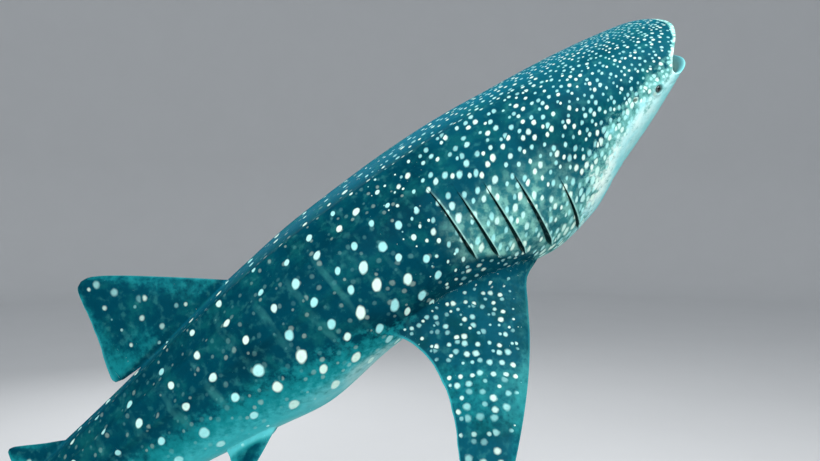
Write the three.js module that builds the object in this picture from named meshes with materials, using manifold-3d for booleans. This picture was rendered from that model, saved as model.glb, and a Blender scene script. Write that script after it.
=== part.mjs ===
// Whale shark, a still life-size model of a young animal 5.5 m long, held nose up on a display stand.
// The body is worked out straight, nose at station 0 and tail tip at station 1 (shares of the length),
// then laid along its spine, which climbs nose up, and set on two rods over a flat base.
// Model frame: +X the way the shark heads, +Y its left, +Z up, origin on the floor under the base's middle.
import * as THREE from "three";
import { mergeVertices } from "three/addons/utils/BufferGeometryUtils.js";
import Module from "manifold-3d";

const kernel = await Module();
kernel.setup();

// Driving dimensions, in millimetres and degrees
const LENGTH = 5500;
const GAP = 0.35;

// Where the spine's origin stands over the base: the tail's lowest tip clears the base by 45 mm
const SPINE_HEIGHT = 2338;
const SPINE_AHEAD = 126;

// Body outline: station, half width, back above the axis and belly below it, all as shares of the length
const BODY_STATIONS = [
  [0.0, 0.056, 0.03, 0.003],
  [0.004, 0.063, 0.033, 0.008],
  [0.012, 0.069, 0.036, 0.0132],
  [0.02, 0.0732, 0.038, 0.0178],
  [0.032, 0.0772, 0.0405, 0.0272],
  [0.06, 0.082, 0.046, 0.045],
  [0.1, 0.0865, 0.0525, 0.064],
  [0.14, 0.09, 0.058, 0.084],
  [0.18, 0.09, 0.063, 0.091],
  [0.22, 0.089, 0.066, 0.084],
  [0.28, 0.086, 0.069, 0.074],
  [0.35, 0.08, 0.07, 0.072],
  [0.42, 0.072, 0.066, 0.077],
  [0.48, 0.063, 0.06, 0.066],
  [0.55, 0.052, 0.05, 0.052],
  [0.65, 0.035, 0.037, 0.034],
  [0.72, 0.024, 0.028, 0.024],
  [0.752, 0.0202, 0.0248, 0.0206],
  [0.768, 0.0183, 0.0212, 0.0192],
  [0.784, 0.0163, 0.0226, 0.0176],
  [0.8, 0.0145, 0.021, 0.016],
  [0.84, 0.009, 0.012, 0.009],
];
const SECTION_POWER = 2.25;

// Ridges along each flank and the low crest along the back: angle from the back, height and stations
const RIDGE_SPREAD = 4.2;
const RIDGES = [
  { angle: 0, height: 0.0026, stations: [0.13, 0.24, 0.66, 0.74] },
  { angle: 38, height: 0.0036, stations: [0.11, 0.2, 0.55, 0.66] },
  { angle: 62, height: 0.0034, stations: [0.2, 0.29, 0.6, 0.7] },
  { angle: 84, height: 0.0036, stations: [0.27, 0.36, 0.9, 0.95] },
];
const KEEL = { angle: 84, spread: 9, height: 0.0135, stations: [0.6, 0.73, 0.775, 0.82] };
const UPPER_RING_ANGLES = [0, 7, 19, 32, 38, 44, 56, 62, 68, 77, 84];
const LOWER_RING_ANGLES = [90, 96, 103, 110, 118, 127, 137, 149, 164, 180];

// Gill slits, front to back: station, first and last angle from the back, and width at the foot of the slit
const GILLS = [
  { station: 0.157, from: 106, to: 147, width: 14 },
  { station: 0.1865, from: 90, to: 141, width: 27 },
  { station: 0.2095, from: 84, to: 136, width: 21 },
  { station: 0.23, from: 79, to: 127, width: 18 },
  { station: 0.2465, from: 65, to: 120, width: 15 },
];
const SLIT_DEPTH = 42;
const FLAP_RISE = 9;
const SLIT_SLANT = 0.003;

// Where the body is parted into nodes
const HEAD_END = 0.132;
const SHOULDER_END = 0.36;
const TORSO_END = 0.632;
const STEM_END = 0.835;

// Mouth: the stations of the lip at the top, at the corners and below, and the wide throat behind it
const MOUTH = {
  top: 0.0008,
  corner: 0.034,
  bottom: 0.0036,
  cornerAngle: 96,
  lipRadius: 0.0027,
  throatStation: 0.102,
  throatShare: 0.35,
};
const JAW_END = 0.1;
const JAW_END_UP = -0.054;

const EYE = { station: 0.0505, angle: 102, radius: 20, proud: 6, lid: 6 };
const NOSTRIL = { station: 0.006, angle: 62, length: 42, width: 13 };
const SPIRACLE = { station: 0.072, angle: 96, length: 24, width: 15 };

const radians = THREE.MathUtils.degToRad;
const mix = THREE.MathUtils.lerp;
const mirrored = (half) => [...half, ...half.slice(1, -1).reverse().map((angle) => 360 - angle)];

// A smooth curve through [x, y] stations that never overshoots between them
function curveThrough(stations) {
  const xs = stations.map(([x]) => x);
  const ys = stations.map(([, y]) => y);
  const slopes = xs.slice(1).map((x, i) => (ys[i + 1] - ys[i]) / (x - xs[i]));
  const tangents = ys.map((_, i) => {
    const before = slopes[Math.max(i - 1, 0)];
    const after = slopes[Math.min(i, slopes.length - 1)];
    return before * after <= 0 ? 0 : (2 * before * after) / (before + after);
  });
  return (x) => {
    const at = Math.min(Math.max(x, xs[0]), xs[xs.length - 1]);
    const i = Math.min(Math.max(xs.findIndex((end) => at <= end) - 1, 0), slopes.length - 1);
    const step = xs[i + 1] - xs[i];
    const t = (at - xs[i]) / step;
    return (
      ys[i] * (1 + 2 * t) * (1 - t) ** 2 +
      ys[i + 1] * t * t * (3 - 2 * t) +
      step * t * (1 - t) * (tangents[i] * (1 - t) - tangents[i + 1] * t)
    );
  };
}

const column = (k) => curveThrough(BODY_STATIONS.map((row) => [row[0], row[k]]));
const halfWidth = column(1);
const backHeight = column(2);
const bellyDepth = column(3);

// Rises from 0 to 1 over the first two stations and falls again over the last two
function window4(s, [riseStart, riseEnd, fallStart, fallEnd]) {
  const rise = THREE.MathUtils.smoothstep(s, riseStart, riseEnd);
  return rise * (1 - THREE.MathUtils.smoothstep(s, fallStart, fallEnd));
}

// How far round the nearer side an angle lies from the back, 0 to 180
const fromBack = (angle) => (angle > 180 ? 360 - angle : angle);

function ridgeHeight(s, angle) {
  const side = fromBack(angle);
  const bump = (ridge, spread) =>
    ridge.height * window4(s, ridge.stations) * Math.exp(-(((side - ridge.angle) / spread) ** 2));
  return RIDGES.reduce((sum, ridge) => sum + bump(ridge, RIDGE_SPREAD), 0) + bump(KEEL, KEEL.spread);
}

// Across the body at a station: [left, up] in millimetres, grown outwards by a margin
function sectionPoint(s, angle, margin = 0) {
  const [sin, cos] = [Math.sin(radians(angle)), Math.cos(radians(angle))];
  const round = (Math.abs(sin) ** SECTION_POWER + Math.abs(cos) ** SECTION_POWER) ** (-1 / SECTION_POWER);
  const left = halfWidth(s) * sin * round * LENGTH;
  const up = (cos > 0 ? backHeight(s) : bellyDepth(s)) * cos * round * LENGTH;
  const reach = Math.hypot(left, up);
  const grown = (reach + ridgeHeight(s, angle) * LENGTH + margin) / reach;
  return [left * grown, up * grown];
}

// Spine, in degrees along the body: nose-up pitch, yaw to the left and roll of the back to the right
const SPINE_ORIGIN = 0.35;
const SPINE_STEP = 0.005;
const spinePitch = curveThrough([
  [0, 33],
  [0.1, 35.4],
  [0.2, 37.1],
  [0.35, 38.2],
  [0.5, 37.7],
  [0.7, 34.5],
  [0.85, 31],
  [1.05, 29],
]);
const spineYaw = curveThrough([
  [0, -2.5],
  [0.2, -2],
  [0.35, -1.1],
  [0.5, 0.3],
  [0.7, 2.8],
  [0.85, 5.5],
  [1.05, 9],
]);
const spineRoll = curveThrough([
  [0, 16.2],
  [0.2, 10],
  [0.35, 5.4],
  [0.5, 0.8],
  [0.6, -1.5],
  [0.75, -4],
  [1.05, -5],
]);

function spineFrames() {
  const count = Math.round(1.1 / SPINE_STEP) + 1;
  const frames = [];
  for (let i = 0; i < count; i++) {
    const s = i * SPINE_STEP;
    const ahead = new THREE.Vector3(1, 0, 0)
      .applyAxisAngle(new THREE.Vector3(0, 1, 0), -radians(spinePitch(s)))
      .applyAxisAngle(new THREE.Vector3(0, 0, 1), radians(spineYaw(s)));
    const level = new THREE.Vector3(0, 0, 1).cross(ahead).normalize();
    const upright = ahead.clone().cross(level);
    const roll = radians(spineRoll(s));
    const left = level.clone().multiplyScalar(Math.cos(roll)).addScaledVector(upright, Math.sin(roll));
    const up = upright.clone().multiplyScalar(Math.cos(roll)).addScaledVector(level, -Math.sin(roll));
    frames.push({ ahead, left, up, at: new THREE.Vector3() });
  }
  for (let i = 1; i < count; i++) {
    const middle = frames[i].ahead.clone().add(frames[i - 1].ahead).normalize();
    frames[i].at.copy(frames[i - 1].at).addScaledVector(middle, -SPINE_STEP * LENGTH);
  }
  const origin = frames[Math.round(SPINE_ORIGIN / SPINE_STEP)].at.clone();
  frames.forEach((frame) => frame.at.sub(origin));
  return frames;
}
const FRAMES = spineFrames();

// A point of the straight shark, bent along the spine: station, left and up in millimetres
function bend(s, left, up) {
  const along = Math.min(Math.max(s, 0), 1.0949) / SPINE_STEP;
  const i = Math.floor(along);
  const [a, b] = [FRAMES[i], FRAMES[i + 1]];
  const t = along - i;
  const across = (frame) =>
    frame.at.clone().addScaledVector(frame.left, left).addScaledVector(frame.up, up);
  const point = across(a).lerp(across(b), t);
  return point.addScaledVector(a.ahead, Math.max(-s, 0) * LENGTH);
}

// A closed solid from rings of points, each end closed by a fan about its middle
function solidFromRings(rings) {
  const size = rings[0].length;
  const middle = (ring) => ring.reduce((sum, p) => sum.add(p), new THREE.Vector3()).divideScalar(size);
  const points = [...rings.flat(), middle(rings[0]), middle(rings[rings.length - 1])];
  const faces = [];
  for (let r = 0; r + 1 < rings.length; r++)
    for (let k = 0; k < size; k++) {
      const [a, b] = [r * size + k, r * size + ((k + 1) % size)];
      faces.push([a, b, a + size], [b, b + size, a + size]);
    }
  const last = (rings.length - 1) * size;
  for (let k = 0; k < size; k++) {
    faces.push([(k + 1) % size, k, points.length - 2]);
    faces.push([last + k, last + ((k + 1) % size), points.length - 1]);
  }
  return solidFromFaces(points, faces);
}

function solidFromFaces(points, faces) {
  const volume = faces.reduce(
    (sum, [a, b, c]) => sum + points[a].dot(new THREE.Vector3().crossVectors(points[b], points[c])),
    0,
  );
  const outward = volume < 0 ? faces.map(([a, b, c]) => [a, c, b]) : faces;
  const vertProperties = new Float32Array(points.flatMap((p) => p.toArray()));
  const triVerts = new Uint32Array(outward.flat());
  return new kernel.Manifold(new kernel.Mesh({ numProp: 3, vertProperties, triVerts }));
}

// A three.js geometry, placed by a matrix, as a solid
function solidFromGeometry(geometry, matrix = new THREE.Matrix4()) {
  const flat = geometry.index ? geometry.toNonIndexed() : geometry;
  const bare = new THREE.BufferGeometry().setAttribute("position", flat.getAttribute("position"));
  const merged = mergeVertices(bare.applyMatrix4(matrix), 1e-3);
  const position = merged.getAttribute("position");
  const pointAt = (i) => new THREE.Vector3().fromBufferAttribute(position, i);
  const points = Array.from({ length: position.count }, (_, i) => pointAt(i));
  const index = merged.index.array;
  const faces = Array.from({ length: index.length / 3 }, (_, i) => [...index.slice(3 * i, 3 * i + 3)]);
  return solidFromFaces(points, faces.filter(([a, b, c]) => a !== b && b !== c && c !== a));
}

function largestPiece(solid) {
  return solid.decompose().reduce((best, piece) => (piece.volume() > best.volume() ? piece : best));
}

// Body rings
const RING_ANGLES = mirrored([...UPPER_RING_ANGLES, ...LOWER_RING_ANGLES]);
const bodyRing = (s, margin = 0) => RING_ANGLES.map((angle) => bend(s, ...sectionPoint(s, angle, margin)));
const HALF_CUT = (0.5 * GAP) / LENGTH;

// Stations from one to another, both ends drawn in by half a gap and let out by the margin
function stationsBetween(first, last, count, margin) {
  const inset = HALF_CUT - margin / LENGTH;
  return Array.from({ length: count }, (_, i) => mix(first + inset, last - inset, i / (count - 1)));
}

// The station of the lip's edge at an angle from the back: set furthest back at the corners of the mouth
function lipStation(angle) {
  const side = fromBack(angle);
  const above = side < MOUTH.cornerAngle;
  const turn = above ? side / MOUTH.cornerAngle : (180 - side) / (180 - MOUTH.cornerAngle);
  return mix(above ? MOUTH.top : MOUTH.bottom, MOUTH.corner, Math.sin((turn * Math.PI) / 2) ** 6);
}

// Rings from the back of the throat forward along the mouth's wall, round the lip and back over the head
function headSolid(margin = 0) {
  const radius = MOUTH.lipRadius * LENGTH;
  const lip = RING_ANGLES.map((angle) => ({ angle, s: lipStation(angle) }));
  const rings = [];
  for (const depth of [1, 0.92, 0.75, 0.5, 0.25, 0.06]) {
    rings.push(
      lip.map(({ angle, s }) => {
        const station = mix(s, MOUTH.throatStation, depth);
        const narrowing = mix(1, MOUTH.throatShare, THREE.MathUtils.smoothstep(depth, 0.3, 1) ** 2);
        return mouthPoint(station, angle, 2 * radius * (1 + 0.8 * depth), narrowing);
      }),
    );
  }
  for (const turn of [150, 100, 50]) {
    const inset = radius * (1 - Math.cos(radians(turn)));
    const ahead = MOUTH.lipRadius * Math.sin(radians(turn));
    rings.push(lip.map(({ angle, s }) => mouthPoint(s, angle, inset, 1, ahead)));
  }
  for (const back of [0, 0.06, 0.14, 0.26, 0.4, 0.55, 0.7, 0.85, 1]) {
    rings.push(
      lip.map(({ angle, s }) => {
        const station = mix(s, HEAD_END - HALF_CUT, back);
        return bend(station, ...sectionPoint(station, angle, margin));
      }),
    );
  }
  return solidFromRings(rings);
}

// A point of the mouth's wall: drawn in from the skin by an inset and narrowed towards the head's middle
function mouthPoint(s, angle, inset, narrowing, ahead = 0) {
  const [left, up] = sectionPoint(s, angle);
  const middle = (0.5 * (backHeight(s) - bellyDepth(s))) * LENGTH;
  const reach = Math.hypot(left, up - middle);
  const share = ((reach - inset) / reach) * narrowing;
  return bend(s - ahead, left * share, middle + (up - middle) * share);
}

// A point on the body's surface with its outward direction, as a place to set a detail
function surfacePlace(s, angle) {
  const at = bend(s, ...sectionPoint(s, angle));
  const along = bend(s - 0.004, ...sectionPoint(s - 0.004, angle)).sub(at).normalize();
  const round = bend(s, ...sectionPoint(s, angle + 2)).sub(at).normalize();
  const outward = along.clone().cross(round).normalize();
  if (outward.dot(at.clone().sub(bend(s, 0, 0))) < 0) outward.negate();
  return { at, along, outward };
}

// Moves and turns a shape so that its X runs forward along the skin and its Z points out of it
function placeOnSkin({ at, along, outward }, lift, scale) {
  const across = outward.clone().cross(along).normalize();
  const ahead = across.clone().cross(outward);
  const origin = at.clone().addScaledVector(outward, lift);
  const turned = new THREE.Matrix4().makeBasis(ahead, across, outward);
  return turned.setPosition(origin).scale(new THREE.Vector3(...scale));
}

const bothSides = (angle) => [["left", angle], ["right", 360 - angle]];

function eyeSolid(angle, margin = 0) {
  const place = placeOnSkin(surfacePlace(EYE.station, angle), EYE.proud - EYE.radius, [1, 1, 1]);
  return solidFromGeometry(new THREE.SphereGeometry(EYE.radius + margin, 18, 12), place);
}

function detailedHead() {
  let head = headSolid();
  for (const [, angle] of bothSides(EYE.angle)) {
    const place = surfacePlace(EYE.station, angle);
    const lidRing = new THREE.TorusGeometry(EYE.radius * 0.86, EYE.lid, 8, 22);
    head = head.add(solidFromGeometry(lidRing, placeOnSkin(place, 0, [1.25, 1, 1])));
    head = head.subtract(eyeSolid(angle, GAP));
  }
  for (const pit of [NOSTRIL, SPIRACLE])
    for (const [, angle] of bothSides(pit.angle)) {
      const size = [pit.length / 2, pit.width / 2, pit.width];
      const place = placeOnSkin(surfacePlace(pit.station, angle), 2, size);
      head = head.subtract(solidFromGeometry(new THREE.SphereGeometry(1, 12, 8), place));
    }
  return head;
}

// The space in which the head is lower jaw: below a line from the mouth's corners back to the throat
function jawSpace(margin) {
  const corner = sectionPoint(MOUTH.corner, MOUTH.cornerAngle)[1] - 6 + margin;
  const wide = 0.13 * LENGTH;
  const end = [JAW_END + margin / LENGTH, JAW_END_UP * LENGTH + margin];
  const tops = [[-0.02, corner], [MOUTH.corner, corner], end];
  return solidFromRings(
    tops.map(([s, up]) =>
      [[-wide, up], [wide, up], [wide, -wide], [-wide, -wide]].map(([y, z]) => bend(s, y, z)),
    ),
  );
}

// Rings of the gill region: four at each slit and slanting with it, for the flap's edge and the slit
function shoulderSolid(margin = 0) {
  const first = HEAD_END + HALF_CUT;
  const last = SHOULDER_END - HALF_CUT;
  const rings = [{ s: first }];
  GILLS.forEach((gill, i) => {
    const previous = i ? GILLS[i - 1].station : first;
    if (i !== 1) rings.push({ s: mix(previous, gill.station, 0.55) });
    for (const edge of [-1, -0.8, 0.8, 1]) rings.push({ s: gill.station, gill, edge });
  });
  for (const share of [0.15, 0.32, 0.5, 0.75]) rings.push({ s: mix(GILLS[4].station, last, share) });
  rings.push({ s: last });
  return solidFromRings(rings.map((ring) => RING_ANGLES.map((angle) => gillPoint(ring, angle, margin))));
}

// How open a slit is at an angle: 0 at its ends, widest three quarters of the way down
function slitOpening(gill, angle) {
  const along = (fromBack(angle) - gill.from) / (gill.to - gill.from);
  if (along <= 0 || along >= 1) return 0;
  return Math.min(1, 5 * along, 7 * (1 - along)) * mix(0.3, 1, along);
}

// The flap ahead of a slit rises towards its edge; behind the slit the surface starts level again
function flapRise(s, angle) {
  const next = GILLS.findIndex((gill) => s <= gill.station);
  if (next < 0) return 0;
  const gill = GILLS[next];
  const start = next ? GILLS[next - 1].station : HEAD_END;
  const share = THREE.MathUtils.clamp((s - start) / (gill.station - start), 0, 1);
  const side = fromBack(angle);
  const inside = window4(side, [gill.from - 6, gill.from + 16, gill.to - 8, gill.to + 8]);
  return FLAP_RISE * share * share * inside;
}

function gillPoint({ s, gill, edge = 0 }, angle, margin) {
  const side = fromBack(angle);
  const ends = window4(s, [HEAD_END, GILLS[0].station, GILLS[4].station, SHOULDER_END]);
  const slant = SLIT_SLANT * ((side - 115) / 35) * ends * window4(side, [40, 90, 150, 178]);
  const open = gill ? slitOpening(gill, angle) : 0;
  const half = gill ? (edge * Math.max(gill.width * open, 3)) / 2 / LENGTH : 0;
  const station = s + slant + half;
  const rise = edge > 0 ? 0 : flapRise(s, angle);
  const sunk = Math.abs(edge) === 0.8 ? SLIT_DEPTH * Math.min(1, 1.6 * open) : 0;
  return bend(station, ...sectionPoint(station, angle, margin + rise - sunk));
}

const torsoSolid = (margin = 0) =>
  solidFromRings(stationsBetween(SHOULDER_END, TORSO_END, 10, margin).map((s) => bodyRing(s, margin)));
const stemSolid = (margin = 0) =>
  solidFromRings(stationsBetween(TORSO_END, STEM_END, 12, margin).map((s) => bodyRing(s, margin)));

// Fins: each outline lists heights above the root, with the leading and trailing edges and the thickness
// there, all as shares of the length; heights below zero lie inside the body
const FIRST_DORSAL = [
  [-0.02, -0.006, 0.108, 0.014],
  [0.0, -0.003, 0.111, 0.013],
  [0.004, 0.001, 0.114, 0.012],
  [0.0058, 0.0028, 0.1315, 0.0115],
  [0.009, 0.006, 0.1395, 0.0105],
  [0.014, 0.011, 0.1412, 0.0098],
  [0.021, 0.018, 0.1393, 0.009],
  [0.052, 0.05, 0.128, 0.0065],
  [0.078, 0.078, 0.121, 0.0048],
  [0.0915, 0.0945, 0.1175, 0.0036],
  [0.096, 0.102, 0.1145, 0.0026],
  [0.0972, 0.1065, 0.1105, 0.0018],
];
const SECOND_DORSAL = [
  [-0.01, -0.002, 0.038, 0.0055],
  [0.0, -0.001, 0.039, 0.005],
  [0.003, 0.003, 0.06, 0.0045],
  [0.013, 0.019, 0.056, 0.0034],
  [0.027, 0.04, 0.053, 0.0024],
  [0.0303, 0.0455, 0.0518, 0.0018],
  [0.0312, 0.0482, 0.0498, 0.0014],
];
const ANAL = [
  [-0.01, -0.002, 0.032, 0.0055],
  [0.0, 0.0, 0.033, 0.005],
  [0.003, 0.004, 0.05, 0.0045],
  [0.014, 0.021, 0.047, 0.0034],
  [0.026, 0.037, 0.047, 0.0024],
  [0.0303, 0.0425, 0.0468, 0.0018],
  [0.0312, 0.0448, 0.0458, 0.0014],
];
const PECTORAL = [
  [-0.03, 0.004, 0.13, 0.03],
  [-0.004, -0.014, 0.148, 0.028],
  [0.006, 0.004, 0.139, 0.0235],
  [0.0155, 0.022, 0.134, 0.019],
  [0.036, 0.0365, 0.1295, 0.0152],
  [0.058, 0.051, 0.1315, 0.0125],
  [0.082, 0.0695, 0.1385, 0.01],
  [0.1075, 0.0925, 0.1505, 0.008],
  [0.132, 0.1175, 0.163, 0.0062],
  [0.15, 0.138, 0.172, 0.0048],
  [0.1585, 0.1505, 0.1752, 0.0038],
  [0.162, 0.158, 0.1742, 0.003],
  [0.1636, 0.1635, 0.1705, 0.0022],
];
const PELVIC = [
  [-0.014, 0.0, 0.046, 0.008],
  [0.0, 0.0, 0.048, 0.0075],
  [0.006, 0.006, 0.058, 0.0065],
  [0.02, 0.02, 0.057, 0.0048],
  [0.034, 0.035, 0.056, 0.0034],
  [0.0395, 0.0425, 0.0545, 0.0026],
  [0.0413, 0.0465, 0.0515, 0.0018],
];
// The tail fin from the tip of its lower lobe to the tip of its upper one, heights from the spine
const CAUDAL = [
  [-0.125, 0.0955, 0.0985, 0.002],
  [-0.121, 0.0905, 0.1005, 0.0032],
  [-0.105, 0.076, 0.1, 0.005],
  [-0.07, 0.047, 0.096, 0.008],
  [-0.035, 0.021, 0.0955, 0.0115],
  [-0.015, 0.01, 0.097, 0.015],
  [0.0, 0.006, 0.1, 0.0185],
  [0.012, 0.006, 0.103, 0.02],
  [0.03, 0.016, 0.106, 0.0165],
  [0.06, 0.047, 0.122, 0.012],
  [0.1, 0.097, 0.158, 0.0086],
  [0.14, 0.155, 0.2, 0.0058],
  [0.165, 0.196, 0.2245, 0.004],
  [0.174, 0.214, 0.2325, 0.003],
  [0.178, 0.224, 0.2315, 0.0018],
];
const CHORD_STEPS = [0.04, 0.13, 0.28, 0.46, 0.66, 0.84, 1];
const EDGE_THICKNESS = 0.0011;

// How fast the back and belly fall away behind the roots of the fins on the mid line
const MIDLINE_SLOPE = 0.13;

// Half the fin's thickness at a share of its chord: a round leading edge, thickest a third of the way back
const foil = (share) => 2.598 * Math.sqrt(share) * (1 - share);

// A fin as rings up its height. place(back, height, side) gives the bent point, all as shares of the length
function finSolid(outline, place) {
  const rings = outline.map(([height, leading, trailing, thickness]) => {
    const chord = trailing - leading;
    const half = (share) => (thickness / 2) * foil(share) + (EDGE_THICKNESS / 2) * share;
    const near = CHORD_STEPS.map((share) => place(leading + share * chord, height, half(share)));
    const far = CHORD_STEPS.map((share) => place(leading + share * chord, height, -half(share)));
    return [place(leading, height, 0), ...near, ...far.reverse()];
  });
  return solidFromRings(rings);
}

// A fin on the mid line: root station, and +1 above the back or -1 under the belly
function midlineFin(outline, root, sign) {
  const edge = sign > 0 ? backHeight(root) : bellyDepth(root);
  return finSolid(outline, (back, height, side) =>
    bend(root + back, side * LENGTH, sign * (edge + height - MIDLINE_SLOPE * back) * LENGTH),
  );
}

// The tail fin above or below the spine: half a gap clear of the other half
function caudalLobe(sign) {
  const middle = CAUDAL.find(([height]) => height === 0);
  const rows = CAUDAL.filter(([height]) => height * sign > 0);
  const root = [sign * HALF_CUT, ...middle.slice(1)];
  const lobe = sign > 0 ? [root, ...rows] : [...rows, root];
  return finSolid(lobe, (back, height, side) => bend(CAUDAL_ROOT + back, side * LENGTH, height * LENGTH));
}

// A paired fin: it leans down from level, and its root climbs and spreads outwards behind its front end.
// The left fin's tip is swung forward by a share of its height
const PECTORAL_PLACE = {
  station: 0.198,
  left: 0.038,
  up: -0.076,
  lean: 58,
  climb: 0.17,
  splay: 0.18,
  swing: 0.12,
};
const PELVIC_PLACE = {
  station: 0.463,
  left: 0.024,
  up: -0.056,
  lean: 44,
  climb: 0.2,
  splay: -0.06,
  swing: 0,
};

function pairedFin(outline, { station, left, up, lean, climb, splay, swing }, sign) {
  const [across, down] = [Math.cos(radians(lean)), Math.sin(radians(lean))];
  return finSolid(outline, (back, height, side) => {
    const y = left + across * height + down * side + splay * back;
    const z = up - down * height + across * side + climb * back;
    const forward = sign > 0 ? swing * Math.max(height, 0) : 0;
    return bend(station + back - forward, sign * y * LENGTH, z * LENGTH);
  });
}

// Materials, one for each finish
const MATERIALS = {
  skin: new THREE.MeshStandardMaterial({ color: 0x1c454d, roughness: 0.55, metalness: 0 }),
  fin: new THREE.MeshStandardMaterial({ color: 0x1f4a55, roughness: 0.55, metalness: 0 }),
  eye: new THREE.MeshStandardMaterial({ color: 0x0b0e10, roughness: 0.12, metalness: 0 }),
  stand: new THREE.MeshStandardMaterial({ color: 0x2b2d30, roughness: 0.45, metalness: 0.6 }),
  base: new THREE.MeshStandardMaterial({ color: 0x3a3d40, roughness: 0.6, metalness: 0 }),
};

// Adds a solid to a group as a named mesh whose own origin is the given point
function addNode(group, name, solid, origin, material) {
  const { numProp, vertProperties, triVerts } = largestPiece(solid).getMesh();
  const geometry = new THREE.BufferGeometry();
  const count = vertProperties.length / numProp;
  const positions = new Float32Array(count * 3);
  for (let i = 0; i < count; i++)
    for (let k = 0; k < 3; k++) {
      positions[3 * i + k] = vertProperties[numProp * i + k] - origin.getComponent(k);
    }
  geometry.setAttribute("position", new THREE.BufferAttribute(positions, 3));
  geometry.setIndex(new THREE.BufferAttribute(new Uint32Array(triVerts), 1));
  geometry.computeVertexNormals();
  const mesh = new THREE.Mesh(geometry, material);
  mesh.name = name;
  mesh.position.copy(origin);
  group.add(mesh);
  return mesh;
}

// The shark, in a group of its own
const shark = new THREE.Group();
shark.name = "shark";

const shoulderGrown = shoulderSolid(GAP);
const torsoGrown = torsoSolid(GAP);
const stemGrown = stemSolid(GAP);

function addBody() {
  const head = detailedHead();
  addNode(shark, "head", head.subtract(jawSpace(GAP)), bend(HEAD_END, 0, 0), MATERIALS.skin);
  addNode(shark, "lower_jaw", head.intersect(jawSpace(0)), bend(JAW_END, 0, 0), MATERIALS.skin);
  addNode(shark, "gill_region", shoulderSolid(), bend(HEAD_END, 0, 0), MATERIALS.skin);
  addNode(shark, "torso", torsoSolid(), bend(SHOULDER_END, 0, 0), MATERIALS.skin);
  addNode(shark, "tail_stem", stemSolid(), bend(TORSO_END, 0, 0), MATERIALS.skin);
  for (const [side, angle] of bothSides(EYE.angle))
    addNode(shark, `eye_${side}`, eyeSolid(angle), surfacePlace(EYE.station, angle).at, MATERIALS.eye);
}

const FIRST_DORSAL_ROOT = 0.436;
const SECOND_DORSAL_ROOT = 0.642;
const ANAL_ROOT = 0.662;
const CAUDAL_ROOT = 0.767;

function addFins() {
  const rootPoint = (s, up) => bend(s, 0, up * LENGTH);
  const backPoint = (s) => rootPoint(s, backHeight(s));
  const first = midlineFin(FIRST_DORSAL, FIRST_DORSAL_ROOT, 1).subtract(torsoGrown);
  addNode(shark, "first_dorsal_fin", first, backPoint(FIRST_DORSAL_ROOT), MATERIALS.fin);
  const second = midlineFin(SECOND_DORSAL, SECOND_DORSAL_ROOT, 1).subtract(stemGrown);
  addNode(shark, "second_dorsal_fin", second, backPoint(SECOND_DORSAL_ROOT), MATERIALS.fin);
  const anal = midlineFin(ANAL, ANAL_ROOT, -1).subtract(stemGrown);
  addNode(shark, "anal_fin", anal, rootPoint(ANAL_ROOT, -bellyDepth(ANAL_ROOT)), MATERIALS.fin);

  for (const [lobe, sign] of [["upper", 1], ["lower", -1]]) {
    const fin = caudalLobe(sign).subtract(stemGrown);
    addNode(shark, `caudal_fin_${lobe}`, fin, rootPoint(CAUDAL_ROOT, sign * 0.02), MATERIALS.fin);
  }

  for (const [side, sign] of [["left", 1], ["right", -1]]) {
    const pectoral = pairedFin(PECTORAL, PECTORAL_PLACE, sign).subtract(shoulderGrown);
    const rootOf = ({ station, left, up }) => bend(station, sign * left * LENGTH, up * LENGTH);
    addNode(shark, `pectoral_fin_${side}`, pectoral, rootOf(PECTORAL_PLACE), MATERIALS.fin);
    const pelvic = pairedFin(PELVIC, PELVIC_PLACE, sign).subtract(torsoGrown);
    addNode(shark, `pelvic_fin_${side}`, pelvic, rootOf(PELVIC_PLACE), MATERIALS.fin);
  }
}

addBody();
addFins();

// Stand: a flat base, and under the breast and the rear trunk a foot, a rod and a saddle that fits the belly
const BASE = { length: 2700, width: 1500, height: 60, corner: 220, bevel: 8 };
const ROD_RADIUS = 42;
const FOOT = { radius: 130, height: 26 };
const SADDLE = { radius: 125, thickness: 22 };
const RODS = [
  { name: "front", station: 0.262, bodySolid: shoulderSolid },
  { name: "rear", station: 0.588, bodySolid: torsoSolid },
];

shark.position.set(SPINE_AHEAD, 0, SPINE_HEIGHT);
shark.updateMatrix();

const part = new THREE.Group();
part.name = "whale_shark_on_stand";
part.add(shark);

function roundedPlate({ length, width, height, corner, bevel }) {
  const [x, y] = [length / 2 - bevel, width / 2 - bevel];
  const outline = new THREE.Shape();
  outline.moveTo(-x + corner, -y);
  outline.lineTo(x - corner, -y).absarc(x - corner, -y + corner, corner, -Math.PI / 2, 0);
  outline.lineTo(x, y - corner).absarc(x - corner, y - corner, corner, 0, Math.PI / 2);
  outline.lineTo(-x + corner, y).absarc(-x + corner, y - corner, corner, Math.PI / 2, Math.PI);
  outline.lineTo(-x, -y + corner).absarc(-x + corner, -y + corner, corner, Math.PI, 1.5 * Math.PI);
  const edge = { bevelThickness: bevel, bevelSize: bevel, bevelSegments: 2, curveSegments: 8 };
  return new THREE.ExtrudeGeometry(outline, { depth: height - 2 * bevel, ...edge }).translate(0, 0, bevel);
}

function upright(radius, height, sides) {
  return new THREE.CylinderGeometry(radius, radius, height, sides).rotateX(Math.PI / 2);
}

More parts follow.
